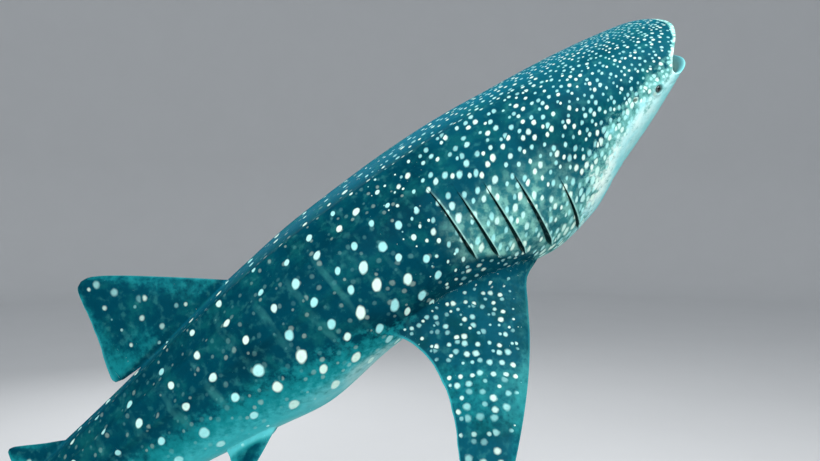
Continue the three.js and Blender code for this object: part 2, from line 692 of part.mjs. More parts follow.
function addStand() {
  addNode(part, "stand_base", solidFromGeometry(roundedPlate(BASE)), new THREE.Vector3(), MATERIALS.base);
  for (const { name, station, bodySolid } of RODS) {
    const foot = bend(station, 0, -bellyDepth(station) * LENGTH).applyMatrix4(shark.matrix);
    const grown = (margin) => bodySolid(margin).transform(shark.matrix.elements);
    const onBase = new THREE.Vector3(foot.x, foot.y, 0);
    const at = (z) => new THREE.Matrix4().makeTranslation(foot.x, foot.y, z);
    const flangeTop = BASE.height + GAP + FOOT.height;
    const flangeMiddle = BASE.height + GAP + FOOT.height / 2;
    const flange = solidFromGeometry(upright(FOOT.radius, FOOT.height, 32), at(flangeMiddle));
    const footPlace = onBase.clone().setZ(BASE.height + GAP);
    addNode(part, `stand_foot_${name}`, flange, footPlace, MATERIALS.stand);
    const tall = foot.z + 400;
    const column = solidFromGeometry(upright(ROD_RADIUS, tall, 24), at(flangeTop + GAP + tall / 2));
    const rod = column.subtract(grown(SADDLE.thickness + 2 * GAP));
    const belowBelly = lowestPiece(rod);
    addNode(part, `stand_rod_${name}`, belowBelly, onBase.clone().setZ(flangeTop + GAP), MATERIALS.stand);
    const pad = solidFromGeometry(upright(SADDLE.radius, 700, 32), at(foot.z - 130));
    const saddle = pad.intersect(grown(SADDLE.thickness + GAP)).subtract(grown(GAP));
    addNode(part, `stand_saddle_${name}`, saddle, onBase.clone().setZ(foot.z), MATERIALS.stand);
  }
}

function lowestPiece(solid) {
  const floorOf = (piece) => piece.boundingBox().min[2];
  return solid.decompose().reduce((best, piece) => (floorOf(piece) < floorOf(best) ? piece : best));
}

addStand();

export default part;
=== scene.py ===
"""Whale shark, a still life-size model on a display stand: the look of every surface.

The shark is worked out straight, with stations along its body as shares of its length, 0 at the snout and 1
at the tail's tip, and with the place across the body given as metres to the left and up. Fins are joined to
the body while it is straight, and the joined skin is then laid along the spine, which climbs nose up.
The frame is the part's own: metres, +X the way the shark heads, +Y its left, +Z up, floor at Z 0.
"""

import logging
import math
from dataclasses import dataclass, field
from enum import Enum

import bpy
import numpy as np
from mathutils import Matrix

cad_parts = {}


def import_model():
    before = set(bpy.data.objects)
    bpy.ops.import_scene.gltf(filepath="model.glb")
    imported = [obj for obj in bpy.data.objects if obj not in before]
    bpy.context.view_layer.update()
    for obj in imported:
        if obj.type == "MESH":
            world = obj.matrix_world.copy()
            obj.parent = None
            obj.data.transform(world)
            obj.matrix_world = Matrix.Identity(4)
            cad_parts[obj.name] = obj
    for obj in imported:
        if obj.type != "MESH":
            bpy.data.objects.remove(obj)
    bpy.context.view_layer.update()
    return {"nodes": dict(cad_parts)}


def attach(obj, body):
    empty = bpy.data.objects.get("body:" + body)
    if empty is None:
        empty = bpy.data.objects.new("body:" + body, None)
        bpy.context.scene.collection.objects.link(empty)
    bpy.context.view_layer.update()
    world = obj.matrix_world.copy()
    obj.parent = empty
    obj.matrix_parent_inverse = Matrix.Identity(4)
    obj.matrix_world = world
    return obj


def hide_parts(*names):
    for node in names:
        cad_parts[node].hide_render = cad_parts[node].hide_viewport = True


log = logging.getLogger("whale_shark")

# Metres along the body from the snout to the tail's tip
LENGTH = 5.5
# A usual distance from the spine to the skin, which turns degrees round the body into metres
MEAN_RADIUS = 0.085 * LENGTH
# Added to a fin's own along value, so that it is 0 only where there is no fin
FIN_MARK = 5.0
Array = np.ndarray
Socket = bpy.types.NodeSocket


def smoothstep(x: Array, start: float, end: float) -> Array:
    """A smooth rise from 0 at start to 1 at end, with level ends."""
    t = np.clip((np.asarray(x, float) - start) / (end - start), 0.0, 1.0)
    return t * t * (3.0 - 2.0 * t)


def fall(x: Array, start: float, end: float) -> Array:
    """A smooth fall from 1 at start to 0 at end: 1 less the rise."""
    return 1.0 - smoothstep(x, start, end)


def hill(x: Array, stations: tuple[float, float, float, float]) -> Array:
    """A smooth rise over the first two stations and a smooth fall over the last two."""
    return smoothstep(x, stations[0], stations[1]) * fall(x, stations[2], stations[3])


def bell(x: Array, width: float) -> Array:
    """A round bump of height 1 about 0, falling to a third at the width."""
    return np.exp(-((np.asarray(x, float) / width) ** 2))


def folded(angle: Array) -> Array:
    """Degrees from the back, counted the same way down either side: 0 at the back and 180 at the belly."""
    return np.where(angle > 180.0, 360.0 - angle, angle)


class Profile:
    """A smooth curve through given points that never swings past them."""

    def __init__(self, xs: list[float], ys: list[float]) -> None:
        """Works out the slope at each point as the harmonic mean of the slopes beside it.

        Args:
            xs: Rising places.
            ys: The curve's height at each of them.
        """
        self.xs = np.asarray(xs, float)
        self.ys = np.asarray(ys, float)
        rise = np.diff(self.ys) / np.diff(self.xs)
        before = np.concatenate([rise[:1], rise])
        after = np.concatenate([rise, rise[-1:]])
        product = before * after
        total = np.where(product > 0.0, before + after, 1.0)
        self.slopes = np.where(product > 0.0, 2.0 * product / total, 0.0)

    def __call__(self, x: Array) -> Array:
        """The curve's height: a cubic between each two points that keeps their slopes.

        Args:
            x: Places, held within the first and last point.

        Returns:
            The heights there.
        """
        x = np.clip(np.asarray(x, float), self.xs[0], self.xs[-1])
        i = np.clip(np.searchsorted(self.xs, x, side="left") - 1, 0, len(self.xs) - 2)
        step = self.xs[i + 1] - self.xs[i]
        t = (x - self.xs[i]) / step
        ends = self.ys[i] * (1 + 2 * t) * (1 - t) ** 2 + self.ys[i + 1] * t * t * (3 - 2 * t)
        turns = self.slopes[i] * (1 - t) - self.slopes[i + 1] * t
        return ends + step * t * (1 - t) * turns


def curve(table: tuple, x: Array) -> Array:
    """The smooth curve through a table's pairs, read at places."""
    return Profile(*zip(*table))(x)


def columns(table: tuple, *wanted: int) -> list[Profile]:
    """One curve for each wanted column of a table whose first column is the place."""
    rows = np.asarray(table, float)
    return [Profile(rows[:, 0], rows[:, k]) for k in wanted]


@dataclass
class Spine:
    """The line the body follows: pitch nose up, yaw to the left and roll to the right, in degrees."""

    pitch: tuple = (
        (0, 33), (0.1, 35.4), (0.2, 37.1), (0.35, 38.2), (0.5, 37.7), (0.7, 34.5), (0.85, 31), (1.05, 29),
    )
    yaw: tuple = ((0, -2.5), (0.2, -2), (0.35, -1.1), (0.5, 0.3), (0.7, 2.8), (0.85, 5.5), (1.05, 9))
    roll: tuple = ((0, 16.2), (0.2, 10), (0.35, 5.4), (0.5, 0.8), (0.6, -1.5), (0.75, -4), (1.05, -5))
    origin_station: float = 0.35
    origin: tuple[float, float, float] = (0.126, 0.0, 2.338)
    step: float = 0.005

    def __post_init__(self) -> None:
        """Walks the spine in short steps and keeps the place and the three directions at each."""
        count = round(1.1 / self.step) + 1
        s = np.arange(count) * self.step
        pitch, yaw, roll = (np.radians(curve(table, s)) for table in (self.pitch, self.yaw, self.roll))
        ahead = np.stack([np.cos(yaw) * np.cos(pitch), np.sin(yaw) * np.cos(pitch), np.sin(pitch)], 1)
        level = np.cross([0.0, 0.0, 1.0], ahead)
        level /= np.linalg.norm(level, axis=1)[:, None]
        upright = np.cross(ahead, level)
        turn, lean = np.cos(roll)[:, None], np.sin(roll)[:, None]
        self.ahead = ahead
        self.left = level * turn + upright * lean
        self.up = upright * turn - level * lean
        middle = ahead[1:] + ahead[:-1]
        middle /= np.linalg.norm(middle, axis=1)[:, None]
        at = np.vstack([np.zeros(3), np.cumsum(-middle * self.step * LENGTH, 0)])
        self.at = at - at[round(self.origin_station / self.step)] + np.asarray(self.origin)

    def place(self, station: Array, left: Array, up: Array) -> Array:
        """Where points of the straight shark lie: the spine's place plus left and up along its directions.

        Args:
            station: Share of the length from the snout.
            left: Metres to the left of the spine.
            up: Metres above it.

        Returns:
            An array of points with a last axis of three.
        """
        station, left, up = (np.asarray(v, float) for v in (station, left, up))
        along = np.clip(station, 0.0, 1.0949) / self.step
        i = np.floor(along).astype(int)
        t = (along - i)[..., None]
        near = self.at[i] + self.left[i] * left[..., None] + self.up[i] * up[..., None]
        far = self.at[i + 1] + self.left[i + 1] * left[..., None] + self.up[i + 1] * up[..., None]
        beyond = self.ahead[i] * (np.maximum(-station, 0.0) * LENGTH)[..., None]
        return near * (1 - t) + far * t + beyond

    def laid(self, points: Array) -> Array:
        """Rows of points of the straight shark, x along, left and up, laid along the spine."""
        return self.place(-points[:, 0] / LENGTH, points[:, 1], points[:, 2])


def ring_numbers(rings: int, size: int) -> tuple[Array, Array]:
    """Point numbers of all rings but the last, and those of each point's neighbour round its ring."""
    r, k = np.meshgrid(np.arange(rings - 1), np.arange(size), indexing="ij")
    return r * size + k, r * size + (k + 1) % size


@dataclass
class Grid:
    """A closed surface: rings of points in the straight shark's frame, with values kept at each point."""

    station: Array
    left: Array
    up: Array
    marks: dict = field(default_factory=dict)

    def mark(self, name: str) -> Array:
        """A named value at each point, zero where none was given."""
        value = self.marks.get(name, 0.0)
        return np.broadcast_to(np.asarray(value, float), self.station.shape)

    def points(self) -> Array:
        """All ring points and the two end middles, in metres, as rows of x along, left and up."""
        body = np.stack([-self.station * LENGTH, self.left, self.up], -1)
        ends = body[[0, -1]].mean(axis=1)
        return np.vstack([body.reshape(-1, 3), ends])

    def values(self, name: str) -> Array:
        """A named value for each row of points."""
        value = self.mark(name)
        return np.concatenate([value.ravel(), value[[0, -1]].mean(axis=1)])

    def faces(self) -> list[tuple]:
        """Quads between each two rings and a fan of triangles about each end's middle."""
        rings, size = self.station.shape
        a, b = ring_numbers(rings, size)
        quads = np.stack([a, b, b + size, a + size], -1).reshape(-1, 4)
        k = np.arange(size)
        after = (k + 1) % size
        first = np.stack([after, k, np.full(size, rings * size)], 1)
        base = (rings - 1) * size
        last = np.stack([base + k, base + after, np.full(size, rings * size + 1)], 1)
        return quads.tolist() + first.tolist() + last.tolist()


def grid_at(points: Array, marks: dict) -> Grid:
    """A grid from rings of points given as x along, left and up in metres."""
    return Grid(-points[..., 0] / LENGTH, points[..., 1], points[..., 2], marks)


# Another mark holds the painted highlight on the slits' flap edges together with the mouth's real pale tooth
# band.
# Of these marks, one holds painted shade in the cavities: the slits, the throat, the pits and inside the
# lids.
MARKS = ("cavity_shade", "mouth", "edge_light_and_teeth", "fin_along", "fin_across", "under", "edge")


def placed(name: str, data: bpy.types.ID) -> bpy.types.Object:
    """A new object with its data, linked to the scene."""
    thing = bpy.data.objects.new(name, data)
    bpy.context.scene.collection.objects.link(thing)
    return thing


def mesh_of(name: str, points: Array, faces: list) -> bpy.types.Object:
    """A new object at the origin whose faces all point outwards.

    Args:
        name: The piece's name.
        points: Rows of x, y and z in metres.
        faces: Lists of point numbers.

    Returns:
        The object, linked to the scene.
    """
    quads = np.array([face for face in faces if len(face) == 4], int).reshape(-1, 4)
    corners = np.array([face for face in faces if len(face) == 3], int).reshape(-1, 3)
    triangles = np.vstack([corners, quads[:, [0, 1, 2]], quads[:, [0, 2, 3]]])
    a, b, c = (points[triangles[:, k]] for k in range(3))
    if np.einsum("ij,ij->i", a, np.cross(b, c)).sum() < 0:
        faces = [face[::-1] for face in faces]
    mesh = bpy.data.meshes.new(name)
    mesh.from_pydata(points.tolist(), [], faces)
    mesh.update()
    return placed(name, mesh)


def write_values(mesh: bpy.types.Mesh, name: str, values: Array) -> None:
    """Keeps a number, or a row of three, at each point of a mesh under a name."""
    if values.ndim == 1:
        layer = mesh.attributes.new(name, "FLOAT", "POINT")
        layer.data.foreach_set("value", values.astype(np.float32))
    else:
        layer = mesh.attributes.new(name, "FLOAT_VECTOR", "POINT")
        layer.data.foreach_set("vector", values.astype(np.float32).ravel())


def read_values(mesh: bpy.types.Mesh, name: str) -> Array:
    """The numbers kept at each point of a mesh under a name."""
    values = np.zeros(len(mesh.vertices), np.float32)
    mesh.attributes[name].data.foreach_get("value", values)
    return values.astype(float)


def mix_values(mesh: bpy.types.Mesh, name: str, here: Array, values: Array) -> None:
    """Puts new values under a name that the mesh has already, at the points that are picked."""
    layer = mesh.attributes[name].data
    field_name = "value" if values.ndim == 1 else "vector"
    kept = np.zeros(values.size, np.float32)
    layer.foreach_get(field_name, kept)
    picked = here.reshape((-1,) + (1,) * (values.ndim - 1))
    mixed = np.where(picked, values, kept.reshape(values.shape).astype(float))
    layer.foreach_set(field_name, mixed.astype(np.float32).ravel())


def read_points(mesh: bpy.types.Mesh) -> Array:
    """The mesh's points as rows of three."""
    points = np.zeros(len(mesh.vertices) * 3, np.float32)
    mesh.vertices.foreach_get("co", points)
    return points.reshape(-1, 3).astype(float)


def write_points(mesh: bpy.types.Mesh, points: Array) -> None:
    """Moves the mesh's points."""
    mesh.vertices.foreach_set("co", points.astype(np.float32).ravel())
    mesh.update()


def grids_to_object(name: str, grids: list[Grid]) -> bpy.types.Object:
    """Several closed grids that don't touch each other as one object with their values."""
    points, faces, start = [], [], 0
    for grid in grids:
        own = grid.points()
        triangles = grid.faces()
        fan = np.array([face[:3] for face in triangles], int)
        a, b, c = (own[fan[:, k]] - own.mean(axis=0) for k in range(3))
        inward = np.einsum("ij,ij->i", a, np.cross(b, c)).sum() < 0
        faces += [[start + v for v in (face[::-1] if inward else face)] for face in triangles]
        points.append(own)
        start += len(own)
    piece = mesh_of(name, np.vstack(points), faces)
    for mark in MARKS:
        write_values(piece.data, mark, np.concatenate([grid.values(mark) for grid in grids]))
    return piece


class Join(Enum):
    """How one closed surface is joined with another."""

    ADD = "UNION"
    CUT = "DIFFERENCE"


def joined(body: bpy.types.Object, other: bpy.types.Object, way: Join) -> None:
    """Joins or cuts a body with another closed surface, keeps the result in the body, removes the other."""
    modifier = body.modifiers.new("join", "BOOLEAN")
    modifier.operation = way.value
    modifier.solver = "MANIFOLD"
    modifier.object = other
    graph = bpy.context.evaluated_depsgraph_get()
    result = bpy.data.meshes.new_from_object(body.evaluated_get(graph))
    body.modifiers.clear()
    old = body.data
    body.data = result
    bpy.data.meshes.remove(old)
    bpy.data.objects.remove(other)


@dataclass
class BodyForm:
    """The straight body's surface.

    Each row of stations gives the station, the half width, the back above the spine and the belly below it,
    as shares of the length. Each ridge has its angle from the back, its height and its window of stations.
    """

    stations: tuple = (
        (0.0, 0.056, 0.03, 0.003),
        (0.004, 0.063, 0.033, 0.008),
        (0.012, 0.069, 0.036, 0.0132),
        (0.02, 0.0732, 0.038, 0.0178),
        (0.032, 0.0772, 0.0405, 0.0272),
        (0.06, 0.082, 0.046, 0.045),
        (0.1, 0.0865, 0.0525, 0.064),
        (0.14, 0.09, 0.058, 0.084),
        (0.18, 0.09, 0.063, 0.091),
        (0.22, 0.089, 0.066, 0.084),
        (0.28, 0.086, 0.069, 0.074),
        (0.35, 0.08, 0.07, 0.072),
        (0.42, 0.072, 0.066, 0.077),
        (0.48, 0.063, 0.06, 0.066),
        (0.55, 0.052, 0.05, 0.052),
        (0.65, 0.035, 0.037, 0.034),
        (0.72, 0.024, 0.028, 0.024),
        (0.752, 0.0202, 0.0248, 0.0206),
        (0.768, 0.0183, 0.0212, 0.0192),
        (0.784, 0.0163, 0.0226, 0.0176),
        (0.8, 0.0145, 0.021, 0.016),
        (0.84, 0.009, 0.012, 0.009),
    )
    power: float = 2.25
    ridge_spread: float = 4.2
    ridges: tuple = (
        (0.0, 0.0026, (0.13, 0.24, 0.66, 0.74)),
        (38.0, 0.0036, (0.11, 0.2, 0.55, 0.66)),
        (62.0, 0.0034, (0.2, 0.29, 0.6, 0.7)),
        (84.0, 0.0036, (0.27, 0.36, 0.9, 0.95)),
    )
    keel_angle: float = 84.0
    keel_spread: float = 9.0
    keel_height: float = 0.0135
    keel_stations: tuple = (0.6, 0.73, 0.775, 0.82)

    def __post_init__(self) -> None:
        """Makes the three outline curves and a table of the distance round the skin from the back."""
        self.half_width, self.back, self.belly = columns(self.stations, 1, 2, 3)
        self.table_stations = np.linspace(0.0, 0.84, 169)
        self.table_angles = np.linspace(0.0, 180.0, 181)
        s, angle = np.meshgrid(self.table_stations, self.table_angles, indexing="ij")
        left, up = self.section(s, angle)
        steps = np.hypot(np.diff(left, axis=1), np.diff(up, axis=1))
        self.girths = np.concatenate([np.zeros((len(s), 1)), np.cumsum(steps, axis=1)], axis=1)

    def ridge_height(self, s: Array, angle: Array) -> Array:
        """Height of the long ridges and of the tail's keel, as round bumps across the angle from the back."""
        side = folded(angle)
        keel = bell(side - self.keel_angle, self.keel_spread)
        height = self.keel_height * hill(s, self.keel_stations) * keel
        for centre, rise, stations in self.ridges:
            height = height + rise * hill(s, stations) * bell(side - centre, self.ridge_spread)
        return height

    def section(self, s: Array, angle: Array, rise: Array | float = 0.0) -> tuple[Array, Array]:
        """Across the body: a rounded box, wider than high, with the ridges' height and a rise added outwards.

        Args:
            s: Stations.
            angle: Degrees round from the back, by the left side.
            rise: Metres outwards.

        Returns:
            Metres to the left and metres up.
        """
        sine, cosine = np.sin(np.radians(angle)), np.cos(np.radians(angle))
        box = (np.abs(sine) ** self.power + np.abs(cosine) ** self.power) ** (-1.0 / self.power)
        left = self.half_width(s) * sine * box * LENGTH
        up = np.where(cosine > 0.0, self.back(s), self.belly(s)) * cosine * box * LENGTH
        reach = np.hypot(left, up)
        grown = (reach + self.ridge_height(s, angle) * LENGTH + rise) / reach
        return left * grown, up * grown

    def skin_place(self, points: Array) -> tuple[Array, Array, Array, Array]:
        """Reads where points lie on the skin.

        Args:
            points: Rows of x along, left and up of the straight shark.

        Returns:
            The station, the angle from the back, the signed way round the skin and the distance outside it.
        """
        s = -points[:, 0] / LENGTH
        angle = self.angle_of(s, points[:, 1], points[:, 2])
        left, up = self.section(s, angle)
        outside = np.hypot(points[:, 1], points[:, 2]) - np.hypot(left, up)
        row = np.clip(s, 0.0, 0.8399) / 0.005
        i = np.floor(row).astype(int)
        column = np.clip(angle, 0.0, 179.999)
        j = np.floor(column).astype(int)
        t, u = row - i, column - j
        girth = (self.girths[i, j] * (1 - u) + self.girths[i, j + 1] * u) * (1 - t)
        girth = girth + (self.girths[i + 1, j] * (1 - u) + self.girths[i + 1, j + 1] * u) * t
        return s, angle, girth * np.sign(points[:, 1]), outside

    def angle_of(self, s: Array, left: Array, up: Array) -> Array:
        """The section angle whose ray from the spine passes a point, 0 at the back and 180 at the belly."""
        half = self.half_width(s)
        tall = np.where(up > 0.0, self.back(s), self.belly(s))
        return np.degrees(np.arctan2(np.abs(left) / half, up / tall))


@dataclass
class GillSlit:
    """One gill slit: its station, the angles from the back where it starts and ends, and its widest gap."""

    station: float
    start: float
    end: float
    gap: float

    def opening(self, side: Array) -> Array:
        """How open the slit is round the body: a thin line above that widens towards its foot."""
        along = (side - self.start) / (self.end - self.start)
        inside = (along > 0.0) & (along < 1.0)
        ends = np.minimum(1.0, np.minimum(4.0 * along, 8.0 * (1.0 - along)))
        return np.where(inside, ends * (0.24 + 0.76 * along**1.8), 0.0)


@dataclass
class Furrow:
    """A fold in the skin along a line of station and angle points, with depth and half width in metres."""

    line: tuple
    depth: float
    width: float


@dataclass
class Mouth:
    """The mouth: the lip's stations at the top, corners and below, and the narrowing throat behind it."""

    top: float = 0.0008
    corner: float = 0.034
    bottom: float = 0.0036
    corner_angle: float = 96.0
    lip_radius: float = 0.0027
    throat_station: float = 0.102
    throat_share: float = 0.35
    wall_depths: tuple = (
        1.0, 0.985, 0.95, 0.9, 0.84, 0.77, 0.69, 0.6, 0.51, 0.42, 0.33, 0.25, 0.18, 0.12, 0.075, 0.04,
    )
    lip_turns: tuple = (168.0, 146.0, 124.0, 102.0, 80.0, 58.0, 38.0, 18.0)
    rib_height: float = 0.004
    tooth_band: tuple = (0.03, 0.05, 0.08, 0.13)

    def lip_station(self, angle: Array) -> Array:
        """Station of the lip's edge round the head, furthest back at the corners of the mouth."""
        side = folded(angle)
        above = side < self.corner_angle
        turn = np.where(above, side / self.corner_angle, (180.0 - side) / (180.0 - self.corner_angle))
        front = np.where(above, self.top, self.bottom)
        return front + (self.corner - front) * np.sin(turn * math.pi / 2.0) ** 6


@dataclass
class SkinGrid:
    """The body's fine surface from the throat, over the lips, back to the tail stem."""

    form: BodyForm
    mouth: Mouth = field(default_factory=Mouth)
    head_end: float = 0.132
    gill_end: float = 0.262
    stem_end: float = 0.835
    around: int = 156
    slit_slant: float = 0.003
    flap_rise: float = 0.009
    slits: tuple = (
        GillSlit(0.157, 106, 147, 0.014),
        GillSlit(0.1865, 90, 141, 0.027),
        GillSlit(0.2095, 84, 136, 0.021),
        GillSlit(0.23, 79, 127, 0.018),
        GillSlit(0.2465, 65, 120, 0.015),
    )
    slit_profile: tuple = (
        (-0.024, -0.024, 0.0),
        (-0.011, -0.010, 0.001),
        (-0.0045, -0.0035, 0.0012),
        (-0.0014, -0.0008, 0.0005),
        (-0.0003, 0.0006, -0.0015),
        (-0.001, 0.0004, -0.0045),
        (-0.005, 0.0001, -0.009),
        (-0.01, -0.0002, -0.017),
        (-0.012, -0.0003, -0.027),
        (-0.006, 0.0, -0.036),
        (0.003, 0.0003, -0.038),
        (0.0085, 0.0009, -0.028),
        (0.0105, 0.0013, -0.014),
        (0.012, 0.0017, -0.004),
        (0.015, 0.0030, -0.0005),
        (0.023, 0.023, 0.0),
    )
    furrows: tuple = (
        Furrow(((0.034, 96), (0.043, 104), (0.056, 111)), 0.006, 0.008),
        Furrow(((0.0385, 110), (0.0257, 125), (0.0167, 140), (0.0138, 160), (0.0136, 180)), 0.003, 0.007),
        Furrow(((0.204, 158), (0.216, 143), (0.230, 131), (0.247, 126)), 0.0045, 0.010),
        Furrow(((0.247, 126), (0.270, 129), (0.300, 138)), 0.0040, 0.007),
        Furrow(((0.085, 118), (0.092, 134), (0.096, 152)), 0.0035, 0.010),
        Furrow(((0.100, 120), (0.108, 136), (0.112, 154)), 0.003, 0.009),
        Furrow(((0.070, 124), (0.074, 140), (0.077, 156)), 0.003, 0.009),
    )

    def build(self) -> Grid:
        """All rings of the body as one closed grid."""
        angle = np.linspace(0.0, 360.0, self.around, endpoint=False)
        runs = (self.mouth_rings, self.head_rings, self.gill_rings, self.rear_rings)
        layers = zip(*(run(angle) for run in runs))
        station, left, up, cavity_shade, mouth, edge_light_and_teeth = (np.concatenate(layer) for layer in layers)
        return Grid(station, left, up, {"cavity_shade": cavity_shade, "mouth": mouth, "edge_light_and_teeth": edge_light_and_teeth})

    def mouth_rings(self, angle: Array) -> tuple[Array, ...]:
        """Rings from the back of the throat forward along the mouth's wall and round the lip."""
        lip = self.mouth.lip_station(angle)[None, :]
        depth = np.array(self.mouth.wall_depths)[:, None]
        radius = self.mouth.lip_radius * LENGTH
        station = lip + (self.mouth.throat_station - lip) * depth
        narrowing = 1.0 + (self.mouth.throat_share - 1.0) * smoothstep(depth, 0.3, 1.0) ** 2
        ribs = self.mouth.rib_height * np.sin(depth * 40.0) * hill(depth, (0.1, 0.2, 0.9, 1.0))
        inset = 2.0 * radius * (1.0 + 0.8 * depth) + ribs
        left, up = self.mouth_wall(station, angle, inset, narrowing)
        turn = np.radians(np.array(self.mouth.lip_turns))[:, None]
        lip_left, lip_up = self.mouth_wall(lip + 0.0 * turn, angle, radius * (1.0 - np.cos(turn)), 1.0)
        lip_station = lip - self.mouth.lip_radius * np.sin(turn)
        inside = np.concatenate([np.ones(depth.shape), smoothstep(turn, 1.2, 2.6)]) + 0.0 * angle
        # Darker deeper into the mouth: painted shade of the throat.
        cavity_shade = np.concatenate([0.9 * smoothstep(depth, 0.12, 0.95), 0.0 * turn]) + 0.0 * angle
        # The mouth's pale tooth band, in the same mark as the slits' painted highlight.
        teeth = np.concatenate([0.7 * hill(depth, self.mouth.tooth_band), 0.0 * turn]) + 0.0 * angle
        return (
            np.concatenate([station, lip_station]),
            np.concatenate([left, lip_left]),
            np.concatenate([up, lip_up]),
            cavity_shade,
            inside,
            teeth,
        )

    def mouth_wall(
        self, s: Array, angle: Array, inset: Array, narrowing: Array | float
    ) -> tuple[Array, Array]:
        """A point of the mouth's wall: drawn in from the skin and narrowed towards the middle of the head."""
        left, up = self.form.section(s, angle)
        middle = 0.5 * (self.form.back(s) - self.form.belly(s)) * LENGTH
        reach = np.hypot(left, up - middle)
        share = (reach - inset) / reach * narrowing
        return left * share, middle + (up - middle) * share

    def head_rings(self, angle: Array) -> tuple[Array, ...]:
        """Rings from the lip's outer edge back over the head, close together at the lip and the eye."""
        near = np.linspace(0.0, 0.5, 34) ** 1.35 / 0.5 ** 0.35
        back = np.concatenate([near, np.linspace(0.5, 1.0, 16)[1:]])[:, None]
        lip = self.mouth.lip_station(angle)[None, :]
        station = lip + (self.head_end - lip) * back
        return self.skin_rings(station, np.broadcast_to(angle, station.shape))

    def gill_rings(self, angle: Array) -> tuple[Array, ...]:
        """Rings of the gill region: a run of even rings ahead of each slit and the slit's own profile."""
        side = folded(angle)
        reach = (0.024 + 0.004) / LENGTH
        layers = []
        before = self.head_end
        for number, slit in enumerate(self.slits):
            plates = np.linspace(before, slit.station - reach, 9 if number == 0 else 6)[1:]
            layers.append(self.skin_rings(*self.slanted(plates, angle)))
            layers.append(self.slit_rings(slit, angle, side))
            before = slit.station + (0.022 + 0.5 * slit.gap) / LENGTH
        rest = np.linspace(before, self.gill_end, 5)[1:]
        layers.append(self.skin_rings(*self.slanted(rest, angle)))
        return tuple(np.concatenate(layer) for layer in zip(*layers))

    def slanted(self, stations: Array, angle: Array) -> tuple[Array, Array]:
        """Rings that slant as the slits do: further back low on the flank than high on it."""
        s, a = np.meshgrid(stations, angle, indexing="ij")
        return s + self.slant(s, a), a

    def slant(self, s: Array, angle: Array) -> Array:
        """How far back, as a share of the length, a slit lies at an angle, fading out ahead and behind."""
        side = folded(angle)
        ends = hill(s, (self.head_end, self.slits[0].station, self.slits[-1].station, 0.27))
        return self.slit_slant * ((side - 115.0) / 35.0) * ends * hill(side, (40, 90, 150, 178))

    def slit_rings(self, slit: GillSlit, angle: Array, side: Array) -> tuple[Array, ...]:
        """One slit's rings: up to the flap's edge, round and under it, and out again on the next plate."""
        opening = slit.opening(side)[None, :]
        wide, narrow, sunk = (np.array(column)[:, None] for column in zip(*self.slit_profile))
        gap = slit.gap * smoothstep(wide, 0.0, 0.012) * (wide < 0.02)
        run = narrow * (1.0 - opening) + (wide * 0.55 + gap * 0.72) * opening
        run = np.where(np.abs(wide) > 0.02, wide, run - 0.3 * slit.gap * opening)
        depth = sunk * np.minimum(1.0, 3.0 * opening)
        base = slit.station + 0.0 * run
        station = base + self.slant(base, np.broadcast_to(angle, base.shape)) + run / LENGTH
        ahead = (np.arange(len(wide)) < 9)[:, None]
        flap = self.flap_shape(np.full_like(station, slit.station), angle) * ahead
        rise = flap + depth + self.folds(station, angle)
        left, up = self.form.section(station, np.broadcast_to(angle, station.shape), rise)
        # Painted shade: dark inside the open slit, and a painted shadow on the next plate near the slit's
        # foot.
        shadow = 0.6 * opening**2.5 * (wide > 0.011) * (wide < 0.02)
        cavity_shade = np.maximum(0.85 * smoothstep(-depth, 0.001, 0.008), shadow)
        # Painted highlight: a pale lit line along the rear edge of the flap ahead of the slit.
        edge = smoothstep(wide, -0.0125, -0.004) * (wide < 0.0) * (sunk > -0.002)
        edge_light_and_teeth = edge * np.minimum(1.0, 2.5 * opening)
        return station, left, up, cavity_shade, 0.0 * cavity_shade, edge_light_and_teeth

    def flap_shape(self, s: Array, angle: Array) -> Array:
        """How far the plate ahead of a slit stands out: it rises to its rear edge within the angles."""
        side = folded(angle)
        rise = np.zeros(np.broadcast(s, side).shape)
        start = self.head_end
        for slit in self.slits:
            share = (s - start) / (slit.station - start)
            here = (share > 0.0) & (share <= 1.0)
            window = hill(side, (slit.start - 6, slit.start + 16, slit.end - 8, slit.end + 8))
            rise = np.where(here, self.flap_rise * share * share * window, rise)
            start = slit.station
        return rise

    def rear_rings(self, angle: Array) -> tuple[Array, ...]:
        """Even rings from behind the gills to the end of the tail stem."""
        trunk = np.linspace(self.gill_end, 0.6, 92)[1:]
        stem = np.linspace(0.6, self.stem_end, 58)[1:]
        return self.skin_rings(*self.slanted(np.concatenate([trunk, stem]), angle))

    def skin_rings(self, station: Array, angle: Array) -> tuple[Array, ...]:
        """Rings that lie on the skin, with the plates' rise and the folds."""
        rise = self.flap_shape(station - self.slant(station, angle), angle) + self.folds(station, angle)
        left, up = self.form.section(station, angle, rise)
        none = np.zeros(station.shape)
        return station, left, up, none, none, none

    def folds(self, station: Array, angle: Array) -> Array:
        """Depth of the folds: a soft groove about each fold's line, with a low swell beside it."""
        side = folded(angle)
        around = MEAN_RADIUS * np.radians(side)
        along = station * LENGTH
        total = np.zeros(np.broadcast(along, around).shape)
        for furrow in self.furrows:
            distance = np.full(total.shape, np.inf)
            points = [(s * LENGTH, MEAN_RADIUS * math.radians(a)) for s, a in furrow.line]
            for (x0, y0), (x1, y1) in zip(points, points[1:]):
                run_x, run_y = x1 - x0, y1 - y0
                t = ((along - x0) * run_x + (around - y0) * run_y) / (run_x**2 + run_y**2)
                t = np.clip(t, 0.0, 1.0)
                distance = np.minimum(distance, np.hypot(along - x0 - t * run_x, around - y0 - t * run_y))
            groove = bell(distance, furrow.width) - 0.2 * bell(distance - 2.2 * furrow.width, furrow.width)
            total = total - furrow.depth * groove
        return total


